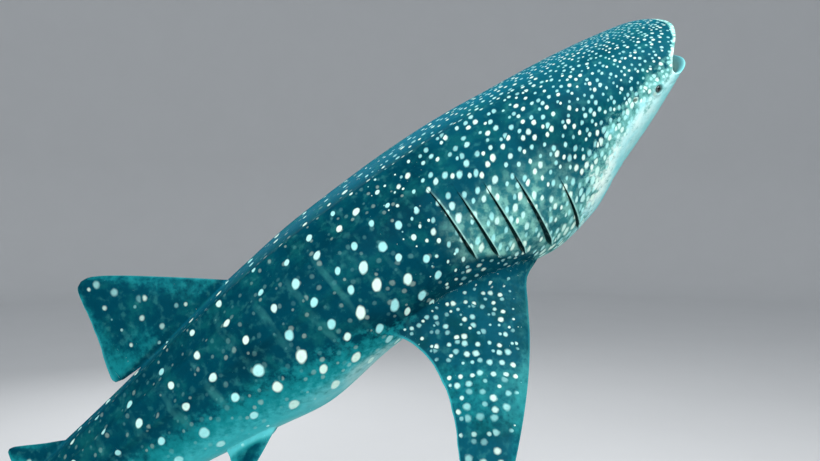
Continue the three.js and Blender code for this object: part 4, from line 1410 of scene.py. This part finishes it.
@dataclass
class SkinMarkings:
    """The values kept on the skin, from which its finish mixes the colours.

    Tables pair stations, or for pectoral_bright metres out along the fin, with values. Spans say where a
    smooth rise or fall starts and ends, and windows where one rises and falls: along in stations, around in
    degrees from the back, past in degrees below the pale line.
    """

    form: BodyForm
    eye_station: float
    eye_angle: float
    pale_line_table: tuple = (
        (0.0, 80), (0.02, 83), (0.05, 94), (0.1, 107), (0.13, 118), (0.15, 131), (0.17, 144), (0.2, 153),
        (0.3, 150), (0.35, 137), (0.4, 128), (0.45, 122), (0.5, 119), (0.6, 116), (0.75, 112),
    )
    pale_softness: tuple = ((0.0, 18), (0.06, 20), (0.12, 22), (0.25, 24), (0.4, 36), (0.8, 36))
    pale_lip_span: tuple = (0.0004, 0.0036)
    pale_lip: float = 0.6
    shoulder_top: tuple = (
        (0.2, 149), (0.212, 138), (0.228, 127), (0.245, 119), (0.27, 122), (0.3, 133), (0.33, 149),
    )
    shoulder_along: tuple = (0.2, 0.212, 0.31, 0.335)
    shoulder_around: tuple = (153.0, 163.0)
    gill_foot: tuple = (
        (0.13, 156), (0.157, 152), (0.1865, 146), (0.2095, 135), (0.23, 126), (0.2465, 118), (0.28, 113),
    )
    gill_along: tuple = (0.135, 0.165, 0.24, 0.268)
    gill_around: tuple = (76.0, 112.0)
    gill_most: float = 0.8
    raggedness: tuple = ((0.0, 0.9), (0.1, 0.9), (0.3, 0.6), (0.5, 0.34))
    # Painted light from above along the back: its strength by station, and the degrees from the back over
    # which it fades.
    painted_top_light: tuple = ((0.0, 0.45), (0.1, 0.55), (0.25, 0.7), (0.4, 0.6), (0.5, 0.45), (0.65, 0.3))
    painted_top_light_around: tuple = (12.0, 44.0)
    dense_bright: tuple = ((0.0, 0.8), (0.1, 0.86), (0.2, 0.94), (0.3, 0.96))
    pectoral_bright: tuple = ((0.0, 0.7), (0.1, 0.78), (0.3, 0.92), (0.5, 0.95), (0.62, 0.7), (0.8, 0.6))
    other_bright: float = 0.62
    shoulder_bright: float = 0.75
    merging_window: tuple = (0.02, 0.3, 0.6, 0.95)
    head_white_along: tuple = (0.14, 0.34)
    # Degrees below the pale line over which the head's white fades: painted shade of the underside.
    head_underside_shade_past: tuple = (9.0, 34.0)
    middle_white_around: tuple = (140.0, 172.0)
    middle_white_along: tuple = (0.6, 0.8)
    rear_white_along: tuple = (0.31, 0.345, 0.375, 0.47)
    rear_white_past: tuple = (3.0, 13.0, 24.0, 46.0)
    bars_along: tuple = (0.26, 0.34, 0.72, 0.8)
    bars_around: tuple = (40, 75, 140, 165)
    head_shade_along: tuple = (0.1, 0.28)
    socket_span: tuple = (0.022, 0.046)
    fin_root: tuple = (0.012, 0.06)
    fin_net_root: tuple = (0.006, 0.018)
    fin_spots_from: tuple = (0.004, 0.02)
    pectoral_end: float = 0.43
    tail_all_fin: tuple = (0.8, 0.83)
    pectoral_step: tuple = (0.040, 0.013)
    pectoral_radius: tuple = (0.0073, 0.0032)
    other_step: float = 0.105
    other_radius: float = 0.0122
    shoulder_step: float = 0.046
    shoulder_radius: float = 0.0088

    def write(self, mesh: bpy.types.Mesh) -> None:
        """Keeps on the skin where each point lies and how pale, spotted or dark it is there."""
        skin = self.read(mesh)
        pale = self.paleness(skin.s, skin.angle) * (1.0 - skin.shoulder)
        off_seam = self.off_seam(mesh, skin.has_fin)
        unrolled = (skin.s * LENGTH, skin.girth + 7.0 * skin.right, 0.0 * skin.s)
        write_values(mesh, "skin_place", np.stack(unrolled, 1))
        self.write_body_nets(mesh, skin, pale, off_seam)
        self.write_fin_net(mesh, skin, off_seam)
        self.write_shoulder_net(mesh, skin, off_seam)
        for name, values in {**self.tones(skin, pale), **self.details(skin)}.items():
            write_values(mesh, name, values)

    def read(self, mesh: bpy.types.Mesh) -> SkinReading:
        """Reads the skin's points and the values that its grids gave them."""
        points = read_points(mesh)
        values = {mark: read_values(mesh, mark) for mark in MARKS}
        s, angle, girth, outside = self.form.skin_place(points)
        has_fin = values["fin_along"] != 0.0
        on_fin = smoothstep(outside, *self.fin_root) * has_fin
        tail = s > self.tail_all_fin[0]
        on_fin = np.where(tail, np.maximum(on_fin, smoothstep(s, *self.tail_all_fin)), on_fin)
        pectoral = (has_fin & (s < self.pectoral_end)).astype(float)
        right = (points[:, 1] < 0.0).astype(float)
        shoulder = self.shoulder(s, angle) * (1.0 - on_fin)
        return SkinReading(s, angle, girth, outside, right, values, has_fin, on_fin, pectoral, shoulder)

    def tones(self, skin: SkinReading, pale: Array) -> dict[str, Array]:
        """How pale, white and ragged the underside is, and how light the back, head and shoulder are; the
        back gets painted light from above, and the head's underside painted shade towards the throat.
        """
        s, angle, body = skin.s, skin.angle, skin.body
        past = angle - curve(self.pale_line_table, s)
        # Whitest just below the pale line. The fade further down towards the throat is painted shade, which
        # leaves aqua where the real underside is white.
        white = fall(s, *self.head_white_along) * (1.0 - 0.7 * smoothstep(past, *self.head_underside_shade_past))
        middle = 0.45 * smoothstep(angle, *self.middle_white_around) * fall(s, *self.middle_white_along)
        rear = 0.6 * hill(s, self.rear_white_along) * hill(past, self.rear_white_past)
        ragged = curve(self.raggedness, s) * (1.0 - 0.8 * smoothstep(past, 12.0, 34.0))
        off_fin = 1.0 - skin.has_fin * smoothstep(skin.outside, 0.0, self.fin_root[0])
        upper = fall(s, *self.head_shade_along) * body * (1.0 - skin.shoulder)
        on_pectoral = skin.pectoral * skin.on_fin
        return {
            "pale": pale * body + self.fin_paleness(skin) * skin.on_fin,
            "white": np.maximum(white, np.maximum(middle, rear)),
            "blend": body * ragged + 0.3 * skin.on_fin,
            # Painted light from above on the back.
            "crest": curve(self.painted_top_light, s) * fall(angle, *self.painted_top_light_around) * off_fin,
            "shade": upper + 0.7 * on_pectoral + 0.4 * skin.shoulder,
            "clouded": 0.55 * np.clip(on_pectoral + skin.shoulder, 0.0, 1.0),
        }

    def details(self, skin: SkinReading) -> dict[str, Array]:
        """The eye's ring, the gill plates, the bars, the fins' rims and the dense spots' strength."""
        s, angle, edge = skin.s, skin.angle, skin.values["edge"]
        around_eye = np.radians(angle - self.eye_angle) * MEAN_RADIUS
        from_eye = np.hypot((s - self.eye_station) * LENGTH, around_eye)
        plates = self.gill_most * hill(s, self.gill_along) * smoothstep(angle, *self.gill_around)
        plates = plates * fall(angle - curve(self.gill_foot, s), -3.0, 6.0)
        rim = smoothstep(edge, 0.975, 1.0) + 0.5 * fall(edge, 0.0, 0.02)
        return {
            "socket": 0.6 * fall(from_eye, *self.socket_span),
            "gill": plates * skin.body * (1.0 - skin.shoulder),
            "bars": hill(s, self.bars_along) * hill(angle, self.bars_around) * skin.body,
            "rim": np.clip(rim, 0.0, 1.0) * skin.on_fin * 0.6,
            "dense_bright": curve(self.dense_bright, s),
        }

    def write_body_nets(self, mesh: bpy.types.Mesh, skin: SkinReading, pale: Array, off_seam: Array) -> None:
        """Keeps the body's three nets on the skin, clear of mouth, pale belly, shoulder and fin roots.

        Args:
            mesh: The skin's mesh.
            skin: What each point is.
            pale: How pale each point is.
            off_seam: 0 beside a fin's seam.
        """
        s = skin.s
        off_fin = off_seam * (1.0 - skin.has_fin * smoothstep(skin.outside, *self.fin_spots_from))
        seen = skin.body * off_fin * fall(pale, 0.8, 1.0)
        seen = seen * (1.0 - skin.values["mouth"]) * (1.0 - skin.shoulder)
        merging = 1.0 + 0.5 * hill(pale, self.merging_window)
        for name, net, weight in (
            ("dense", DENSE_NET, seen * merging * fall(s, 0.24, 0.30)),
            ("wide", WIDE_NET, seen * smoothstep(s, 0.235, 0.29)),
            ("dust", DUST_NET, seen * smoothstep(s, 0.22, 0.3)),
        ):
            along, around = net.steps(s)
            counted = (net.count(s), skin.girth / around + 31.0 * skin.right + 0.37, 0.0 * s)
            write_values(mesh, name + "_net", np.stack(counted, 1))
            write_values(mesh, name + "_step", np.stack([along, around, 0.0 * s], 1))
            write_values(mesh, name + "_spot", net.radius(s, np.abs(skin.girth)) * weight)

    def write_fin_net(self, mesh: bpy.types.Mesh, skin: SkinReading, off_seam: Array) -> None:
        """Keeps the fins' spot net: small close spots at a pectoral fin's root, larger ones further out."""
        values, pectoral = skin.values, skin.pectoral > 0.0
        edge, out = values["edge"], np.abs(values["fin_across"])
        root = skin.has_fin * smoothstep(skin.outside, *self.fin_net_root)
        on_net = np.maximum(skin.on_fin, root) * off_seam
        reach = np.linspace(0.0, 1.6, 321)
        wide = self.pectoral_step[0] + self.pectoral_step[1] * smoothstep(reach, 0.15, 0.6)
        counted = np.interp(out, reach, np.cumsum((reach[1] - reach[0]) / wide))
        step = np.where(pectoral, np.interp(out, reach, wide), self.other_step)
        counted = np.where(pectoral, counted, out / step)
        small, growth = self.pectoral_radius
        radius = np.where(pectoral, small + growth * smoothstep(out, 0.1, 0.5), self.other_radius)
        clear = smoothstep(edge, 0.06, 0.22) * fall(edge, 0.93, 0.99)
        clear = clear * np.where(pectoral, 1.0, fall(edge, 0.6, 0.85))
        across = (values["fin_along"] - FIN_MARK) / step
        net = np.stack([across + 40.0, counted + 17.0 * skin.right + 0.4, 0.0 * out], 1)
        write_values(mesh, "fin_net", net)
        write_values(mesh, "fin_step", np.stack([step, step, 0.0 * step], 1))
        write_values(mesh, "fin_spot", radius * on_net * (1.0 - values["under"]) * clear)
        bright = np.where(pectoral, curve(self.pectoral_bright, out), self.other_bright)
        write_values(mesh, "fin_bright", bright)

    def shoulder(self, s: Array, angle: Array) -> Array:
        """How far a point lies in the dark, finely spotted patch of the flank above a pectoral fin's root."""
        reach = hill(s, self.shoulder_along) * fall(angle, *self.shoulder_around)
        return smoothstep(angle - curve(self.shoulder_top, s), -1.0, 3.5) * reach

    def write_shoulder_net(self, mesh: bpy.types.Mesh, skin: SkinReading, off_seam: Array) -> None:
        """Carries the fins' fine spots on to the patch above a pectoral fin's root, on an even net.

        Args:
            mesh: The skin's mesh, whose fin net is already written.
            skin: What each point is.
            off_seam: 0 beside a fin's seam.
        """
        step = self.shoulder_step
        patch = skin.shoulder * off_seam * (1.0 - skin.has_fin)
        even = np.stack([skin.s * LENGTH / step, skin.girth / step + 9.0 * skin.right, 0.0 * skin.s], 1)
        for name, values in (
            ("fin_net", even),
            ("fin_step", np.full(even.shape, step)),
            ("fin_spot", self.shoulder_radius * patch),
            ("fin_bright", np.full(len(patch), self.shoulder_bright)),
        ):
            mix_values(mesh, name, patch > 0.0, values)

    def paleness(self, s: Array, angle: Array) -> Array:
        """Pale below a line that lies high on the head, low at the gills and halfway down the rear flank."""
        soft = curve(self.pale_softness, s)
        lip = self.pale_lip * fall(s - Mouth().lip_station(angle), *self.pale_lip_span)
        return np.maximum(smoothstep((angle - curve(self.pale_line_table, s)) / soft, -1.0, 1.0), lip)

    def off_seam(self, mesh: bpy.types.Mesh, has_fin: Array) -> Array:
        """0 at the points on either side of the line where a fin meets the body, 1 at all others."""
        ends = np.zeros(len(mesh.edges) * 2, np.int32)
        mesh.edges.foreach_get("vertices", ends)
        ends = ends.reshape(-1, 2)
        crossing = has_fin[ends[:, 0]] != has_fin[ends[:, 1]]
        kept = np.ones(len(has_fin))
        kept[ends[crossing].ravel()] = 0.0
        return kept

    def fin_paleness(self, skin: SkinReading) -> Array:
        """Fins are pale below; above, a pectoral fin's outer part and the other fins' margins are paler."""
        across, edge, under = (skin.values[name] for name in ("fin_across", "edge", "under"))
        outer = 0.24 * hill(across, (0.28, 0.46, 0.56, 0.74)) + 0.1 * smoothstep(across, 0.6, 0.8)
        front = 0.12 * fall(edge, 0.06, 0.22)
        above = np.clip(outer + front, 0.0, 1.0) * skin.pectoral
        lower_rear = 0.4 * smoothstep(edge, 0.3, 0.85) * fall(across, 0.12, 0.38)
        margins = 0.22 * fall(edge, 0.08, 0.36) + 0.26 * smoothstep(edge, 0.74, 0.97)
        above = above + np.clip(lower_rear + margins, 0.0, 0.6) * (1.0 - skin.pectoral)
        return 0.85 * under + (1.0 - under) * above


@dataclass
class SharkFlesh:
    """The whole skin: body, fins, lids and pits joined into one closed surface and laid along the spine.

    A pit is given as its station, angle, two half widths, depth and shadow, and a lid as radii in shares of
    the eye's own and heights in metres.
    """

    spine: Spine
    form: BodyForm
    eye_station: float = 0.0505
    eye_angle: float = 102.0
    eye_radius: float = 0.020
    eye_proud: float = 0.006
    socket_gap: float = 0.0004
    lid_reach: float = 1.02
    lid_profile: tuple = (
        (0.2, -0.012),
        (0.5, -0.012),
        (0.66, -0.010),
        (0.7, -0.004),
        (0.74, 0.001),
        (0.84, 0.0045),
        (1.0, 0.0052),
        (1.2, 0.0042),
        (1.45, 0.0012),
        (1.62, -0.004),
        (1.62, -0.02),
    )
    nostril: tuple = (0.006, 62.0, 0.021, 0.0065, 0.013, 0.85)
    spiracle: tuple = (0.072, 96.0, 0.012, 0.0075, 0.015, 0.5)
    pit_lift: float = 0.002

    def build(self, finish: SharkSkin) -> bpy.types.Object:
        """Makes the skin.

        Args:
            finish: The skin's colours and markings.

        Returns:
            The skin piece, dressed.
        """
        skin = grids_to_object("shark_skin", [SkinGrid(self.form).build()])
        joined(skin, grids_to_object("fins", self.fins()), Join.ADD)
        joined(skin, grids_to_object("lids", self.lids()), Join.ADD)
        joined(skin, grids_to_object("pits", self.pits()), Join.CUT)
        SkinMarkings(self.form, self.eye_station, self.eye_angle).write(skin.data)
        write_points(skin.data, self.spine.laid(read_points(skin.data)))
        skin.data.shade_smooth()
        skin.data.materials.clear()
        skin.data.materials.append(finish.dress())
        return skin

    def fins(self) -> list[Grid]:
        """Every fin as a closed grid, rooted in the body."""
        pectoral_form = FinForm(PECTORAL_ROWS, 76, 30, 0.006, 0.009)
        pectoral = PairedFin(pectoral_form, 0.198, 0.038, -0.076, lean=58, climb=0.17, splay=0.18, swing=0.12)
        pelvic_form = FinForm(PELVIC_ROWS, 34, 16, 0.003, 0.005)
        pelvic = PairedFin(pelvic_form, 0.463, 0.024, -0.056, lean=44, climb=0.2, splay=-0.06)
        first = MidlineFin(FinForm(FIRST_DORSAL_ROWS, 56, 26, 0.008, 0.006), 0.436, 1.0, 0.13)
        second = MidlineFin(FinForm(SECOND_DORSAL_ROWS, 30, 16, 0.003, 0.003), 0.642, 1.0, 0.13)
        anal = MidlineFin(FinForm(ANAL_ROWS, 30, 16, 0.003, 0.003), 0.662, -1.0, 0.13)
        tail = TailFin(FinForm(TAIL_ROWS, 110, 26, 0.0, 1.0), 0.767)
        middle = [fin.build(self.form) for fin in (first, second, anal)] + [tail.build()]
        return middle + [fin.build(sign) for fin in (pectoral, pelvic) for sign in (1.0, -1.0)]

    def on_straight(self, station: float, angle: float) -> Array:
        """A point of the straight body's skin, x along, left and up."""
        left, up = self.form.section(np.array(station), np.array(angle))
        return np.array([-station * LENGTH, float(left), float(up)])

    def skin_frame(self, station: float, angle: float) -> tuple[Array, Array]:
        """A place on the straight body's skin and the three directions there: forward, across and outward.

        Args:
            station: Share of the length.
            angle: Degrees from the back, by the left side.

        Returns:
            The place, and the directions as rows: outward is forward crossed with a step round the skin.
        """
        here = self.on_straight(station, angle)
        ahead = self.on_straight(station - 0.004, angle) - here
        ahead /= np.linalg.norm(ahead)
        around = self.on_straight(station, angle + 2.0) - here
        outward = np.cross(ahead, around)
        outward /= np.linalg.norm(outward)
        outward = outward * np.sign(outward @ np.array([0.0, here[1], here[2]]))
        across = np.cross(outward, ahead)
        return here, np.stack([ahead, across, outward])

    def on_skin(self, station: float, angle: float, local: Array, marks: dict) -> Grid:
        """A small form given forward, across and outward of a place on the skin, as a grid."""
        here, axes = self.skin_frame(station, angle)
        return grid_at(here + local @ axes, marks)

    def lids(self) -> list[Grid]:
        """A low lid round each eye: a profile carried round a ring that is longer along the body."""
        turn = np.linspace(0.0, 2.0 * math.pi, 44, endpoint=False)
        size = self.eye_radius
        radius = np.array([share * size * self.lid_reach for share, _ in self.lid_profile])[:, None]
        height = np.array([height for _, height in self.lid_profile])[:, None]
        stretch = 1.0 + 0.18 * smoothstep(radius, 0.7 * size, 1.1 * size)
        ring = (radius * np.cos(turn) * stretch, radius * np.sin(turn), height + 0.0 * turn)
        # Painted shade on the lid's inner part, where it drops into the socket.
        inner = 0.6 * fall(radius, 0.78 * size, 1.0 * size) + 0.0 * turn
        return [
            self.on_skin(self.eye_station, angle, np.stack(ring, -1), {"cavity_shade": inner})
            for angle in (self.eye_angle, 360.0 - self.eye_angle)
        ]

    def pits(self) -> list[Grid]:
        """The sockets behind the eyes, the nostrils and the spiracles, as hollows to be cut."""
        made = []
        cell = self.eye_radius + self.socket_gap
        socket = (self.eye_station, self.eye_angle, cell, cell, cell, 1.0)
        sunk = self.eye_proud - self.eye_radius
        for pit, lift in ((socket, sunk), (self.nostril, self.pit_lift), (self.spiracle, self.pit_lift)):
            station, angle, long, wide, deep, shadow = pit
            local = unit_ball(16, 28) * np.array([long, wide, deep]) + np.array([0.0, 0.0, lift])
            for around in (angle, 360.0 - angle):
                made.append(self.on_skin(station, around, local, {"cavity_shade": shadow}))
        return made

    def eyes(self, finish: EyeFinish) -> list[bpy.types.Object]:
        """The two eyeballs, each a ball with a slightly raised clear front."""
        made = []
        ball = unit_ball(40, 56)
        gaze = ball[..., 2]
        radius = self.eye_radius * (1.0 + 0.03 * smoothstep(gaze, 0.75, 1.0))
        local = ball * radius[..., None] + np.array([0.0, 0.0, self.eye_proud - self.eye_radius])
        for name, angle in (("eyeball_left", self.eye_angle), ("eyeball_right", 360.0 - self.eye_angle)):
            grid = self.on_skin(self.eye_station, angle, local, {"gaze": gaze})
            piece = mesh_of(name, grid.points(), grid.faces())
            write_points(piece.data, self.spine.laid(grid.points()))
            write_values(piece.data, "gaze", grid.values("gaze"))
            piece.data.shade_smooth()
            piece.data.materials.append(finish.dress())
            made.append(piece)
        return made


def unit_ball(rings: int, around: int) -> Array:
    """A ball of radius 1 as rings of points round its third axis, from near one pole to near the other."""
    tilt = np.linspace(math.pi, 0.0, rings + 2)[1:-1][:, None]
    turn = np.linspace(0.0, 2.0 * math.pi, around, endpoint=False)[None, :]
    across = np.sin(tilt)
    return np.stack([across * np.cos(turn), across * np.sin(turn), np.cos(tilt) + 0.0 * turn], -1)


@dataclass
class DisplayStand:
    """The stand: its own nodes keep their shape and get their paint; bolts, welds and collars are added."""

    spine: Spine
    form: BodyForm
    rods: StandFinish = StandFinish("stand_paint", (0.035, 0.037, 0.04, 1.0), 0.42, 0.0)
    plate: StandFinish = StandFinish("stand_plate_paint", (0.09, 0.093, 0.097, 1.0), 0.55, 0.0)
    steel: StandFinish = StandFinish("bolt_steel", (0.42, 0.43, 0.44, 1.0), 0.34, 1.0)
    stations: tuple = (("front", 0.262), ("rear", 0.588))
    foot_top: float = 0.08635
    bolt_circle: float = 0.098
    bolt_count: int = 6
    washer: tuple = ((0.0165, 0.0), (0.0165, 0.0024), (0.0155, 0.003))
    bolt_head: tuple = ((0.0125, 0.003), (0.0125, 0.0108), (0.0105, 0.0125))
    weld: tuple = ((0.0540, 0.0), (0.0535, 0.004), (0.0500, 0.009), (0.0460, 0.013), (0.0425, 0.017))
    weld_ripple: tuple = (0.0007, 32)
    collar: tuple = (
        (0.0425, -0.024),
        (0.0530, -0.024),
        (0.0555, -0.0215),
        (0.0555, 0.0215),
        (0.0530, 0.024),
        (0.0425, 0.024),
    )
    collar_drop: float = 0.15
    collar_face: float = 0.0545
    screw_lifts: tuple = (-0.011, 0.011)
    screw: tuple = ((0.0055, 0.0), (0.0055, 0.006), (0.0045, 0.0072))

    def dress(self, nodes: dict) -> None:
        """Gives every stand node its paint."""
        rod_paint = self.rods.dress()
        plate_paint = self.plate.dress()
        for name, node in nodes.items():
            if name.startswith("stand_"):
                node.data.materials.clear()
                node.data.materials.append(plate_paint if name == "stand_base" else rod_paint)
                log.info("dressed %s", name)

    def fittings(self) -> list[bpy.types.Object]:
        """The bolts of each foot in steel, and each rod's weld and collar in the rod's paint."""
        steel, paint = self.steel.dress(), self.rods.dress()
        made = []
        for name, station in self.stations:
            belly = -float(self.form.belly(station)) * LENGTH
            x, y, z = self.spine.place(np.array(station), np.array(0.0), np.array(belly))
            screws = self.collar_screws(x, y, z - self.collar_drop)
            bolts = grids_to_object(f"stand_bolts_{name}", self.foot_bolts(x, y) + screws)
            bolts.data.materials.append(steel)
            ripple, ripples = self.weld_ripple
            weld = turned(self.weld, 96, (x, y, self.foot_top), ripple=ripple, ripples=ripples)
            collar = turned(self.collar, 64, (x, y, z - self.collar_drop))
            rings = grids_to_object(f"stand_rings_{name}", [weld, collar])
            rings.data.shade_smooth()
            rings.data.materials.append(paint)
            made += [bolts, rings]
        return made

    def foot_bolts(self, x: float, y: float) -> list[Grid]:
        """A washer and a six-sided head at each place of the bolt circle."""
        made = []
        for turn in np.linspace(0.0, 2.0 * math.pi, self.bolt_count, endpoint=False):
            out = self.bolt_circle
            at = (x + out * math.cos(turn), y + out * math.sin(turn), self.foot_top)
            made.append(turned(self.washer, 24, at))
            made.append(turned(self.bolt_head, 6, at, phase=0.7 * turn))
        return made

    def collar_screws(self, x: float, y: float, z: float) -> list[Grid]:
        """Two clamping screws that stand out of each collar's side."""
        made = []
        for lift in self.screw_lifts:
            screw = turned(self.screw, 6, (0.0, 0.0, 0.0))
            out, across, up = -screw.station * LENGTH, screw.left, screw.up
            made.append(Grid(-(x + across) / LENGTH, y - self.collar_face - up, z + lift + out))
        return made


def turned(
    profile: tuple, sides: int, at: tuple, phase: float = 0.0, ripple: float = 0.0, ripples: int = 0
) -> Grid:
    """A solid turned about an upright axis: each radius and height of the profile carried round it.

    Args:
        profile: Rows of radius and height.
        sides: Points round the axis; six make a bolt head.
        at: Where the axis stands.
        phase: Turn of the first point, in radians.
        ripple: Height of small waves in the radius.
        ripples: How many of them.

    Returns:
        The closed grid.
    """
    rows = np.asarray(profile, float)
    turn = np.linspace(0.0, 2.0 * math.pi, sides, endpoint=False)[None, :]
    radius = rows[:, :1] + ripple * np.sin(ripples * turn)
    x = at[0] + radius * np.cos(turn + phase)
    y = at[1] + radius * np.sin(turn + phase)
    z = at[2] + rows[:, 1:] + 0.0 * turn
    return Grid(-x / LENGTH, y, z)


@dataclass
class Studio:
    """A round pale floor that curves up into a wall, soft lights and the camera at the photographed angle.

    Each lamp has its name, place, size in metres, watts and colour.
    """

    radius: float = 24.0
    curve: float = 6.0
    height: float = 24.0
    lens: float = 28.54
    sensor: float = 36.0
    from_spine: tuple[float, float, float] = (0.3156, -3.267, 0.248)
    flat_rings: tuple = (0.02, 8.0, 16.0)
    lamps: tuple = (
        ("key", (3.5, -4.5, 8.0), 6.0, 820.0, (1.0, 1.0, 1.0)),
        ("fill", (-2.5, -8.5, 4.4), 5.0, 340.0, (0.96, 0.99, 1.0)),
        ("rim", (-3.0, 7.0, 6.0), 5.0, 220.0, (1.0, 1.0, 1.0)),
    )
    lamps_aim: tuple = (0.3, 0.0, 2.0)
    surround: tuple = (("Color", (0.9, 0.95, 1.0, 1.0)), ("Strength", 0.5))

    def build(self, spine: Spine) -> None:
        """Sets up the floor, lights and camera."""
        floor = self.floor()
        floor.data.materials.append(StudioFinish().dress())
        self.lights()
        self.camera(spine)

    def floor(self) -> bpy.types.Object:
        """A disc that turns up along a quarter circle into a round wall, as a profile turned round."""
        turn = np.linspace(0.0, math.pi / 2.0, 24)
        wall = self.radius + self.curve
        out = np.concatenate([self.flat_rings, self.radius + self.curve * np.sin(turn), [wall]])
        level = np.zeros(len(self.flat_rings))
        rise = np.concatenate([level, self.curve * (1.0 - np.cos(turn)), [self.height]])
        around = np.linspace(0.0, 2.0 * math.pi, 128, endpoint=False)
        x = out[:, None] * np.cos(around)
        y = out[:, None] * np.sin(around)
        z = rise[:, None] + 0.0 * around
        rows, size = x.shape
        a, b = (numbers.ravel() for numbers in ring_numbers(rows, size))
        faces = np.stack([a, a + size, b + size, b], 1).tolist()
        faces.append(list(range(size)))
        mesh = bpy.data.meshes.new("studio_floor")
        mesh.from_pydata(np.stack([x, y, z], -1).reshape(-1, 3).tolist(), [], faces)
        mesh.shade_smooth()
        return placed("studio_floor", mesh)

    def lights(self) -> None:
        """A broad key from above, a fill from the camera's side, a rim from behind and a pale surround."""
        for name, at, size, power, tint in self.lamps:
            light = bpy.data.lights.new(name, "AREA")
            light.energy = power
            light.size = size
            light.color = tint
            lamp = placed(name, light)
            lamp.location = at
            ahead, across, up = np.array(self.lamps_aim) - np.array(at)
            tilt = math.atan2(math.hypot(ahead, across), -up)
            lamp.rotation_euler = (tilt, 0.0, math.atan2(across, ahead) - math.pi / 2.0)
        world = bpy.data.worlds.new("surround")
        world.use_nodes = True
        for name, value in self.surround:
            world.node_tree.nodes["Background"].inputs[name].default_value = value
        bpy.context.scene.world = world
        bpy.context.scene.view_settings.view_transform = "Standard"

    def camera(self, spine: Spine) -> None:
        """A level camera off the right flank, placed from the middle of the trunk."""
        data = bpy.data.cameras.new("camera")
        data.lens = self.lens
        data.sensor_width = self.sensor
        data.clip_end = 200.0
        camera = placed("camera", data)
        camera.location = np.asarray(spine.origin) + np.asarray(self.from_spine)
        camera.rotation_euler = (math.pi / 2.0, 0.0, 0.0)
        bpy.context.scene.camera = camera


FLESH_NODES = (
    "head",
    "lower_jaw",
    "gill_region",
    "torso",
    "tail_stem",
    "first_dorsal_fin",
    "second_dorsal_fin",
    "anal_fin",
    "caudal_fin_upper",
    "caudal_fin_lower",
    "pectoral_fin_left",
    "pectoral_fin_right",
    "pelvic_fin_left",
    "pelvic_fin_right",
)


def main() -> None:
    """Builds and dresses every piece in order."""
    logging.basicConfig(level=logging.INFO, format="%(message)s")
    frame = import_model()
    spine = Spine()
    Studio().build(spine)
    flesh = SharkFlesh(spine, BodyForm())
    skin = flesh.build(SharkSkin())
    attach(skin, "root")
    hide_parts(*FLESH_NODES)
    log.info("%s: %d faces", skin.name, len(skin.data.polygons))
    for eyeball, node in zip(flesh.eyes(EyeFinish()), ("eye_left", "eye_right")):
        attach(eyeball, "root")
        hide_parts(node)
        log.info("%s: %d faces", eyeball.name, len(eyeball.data.polygons))
    stand = DisplayStand(spine, BodyForm())
    stand.dress(frame["nodes"])
    for piece in stand.fittings():
        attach(piece, "root")
        log.info("%s: %d faces", piece.name, len(piece.data.polygons))


if __name__ == "__main__":
    main()
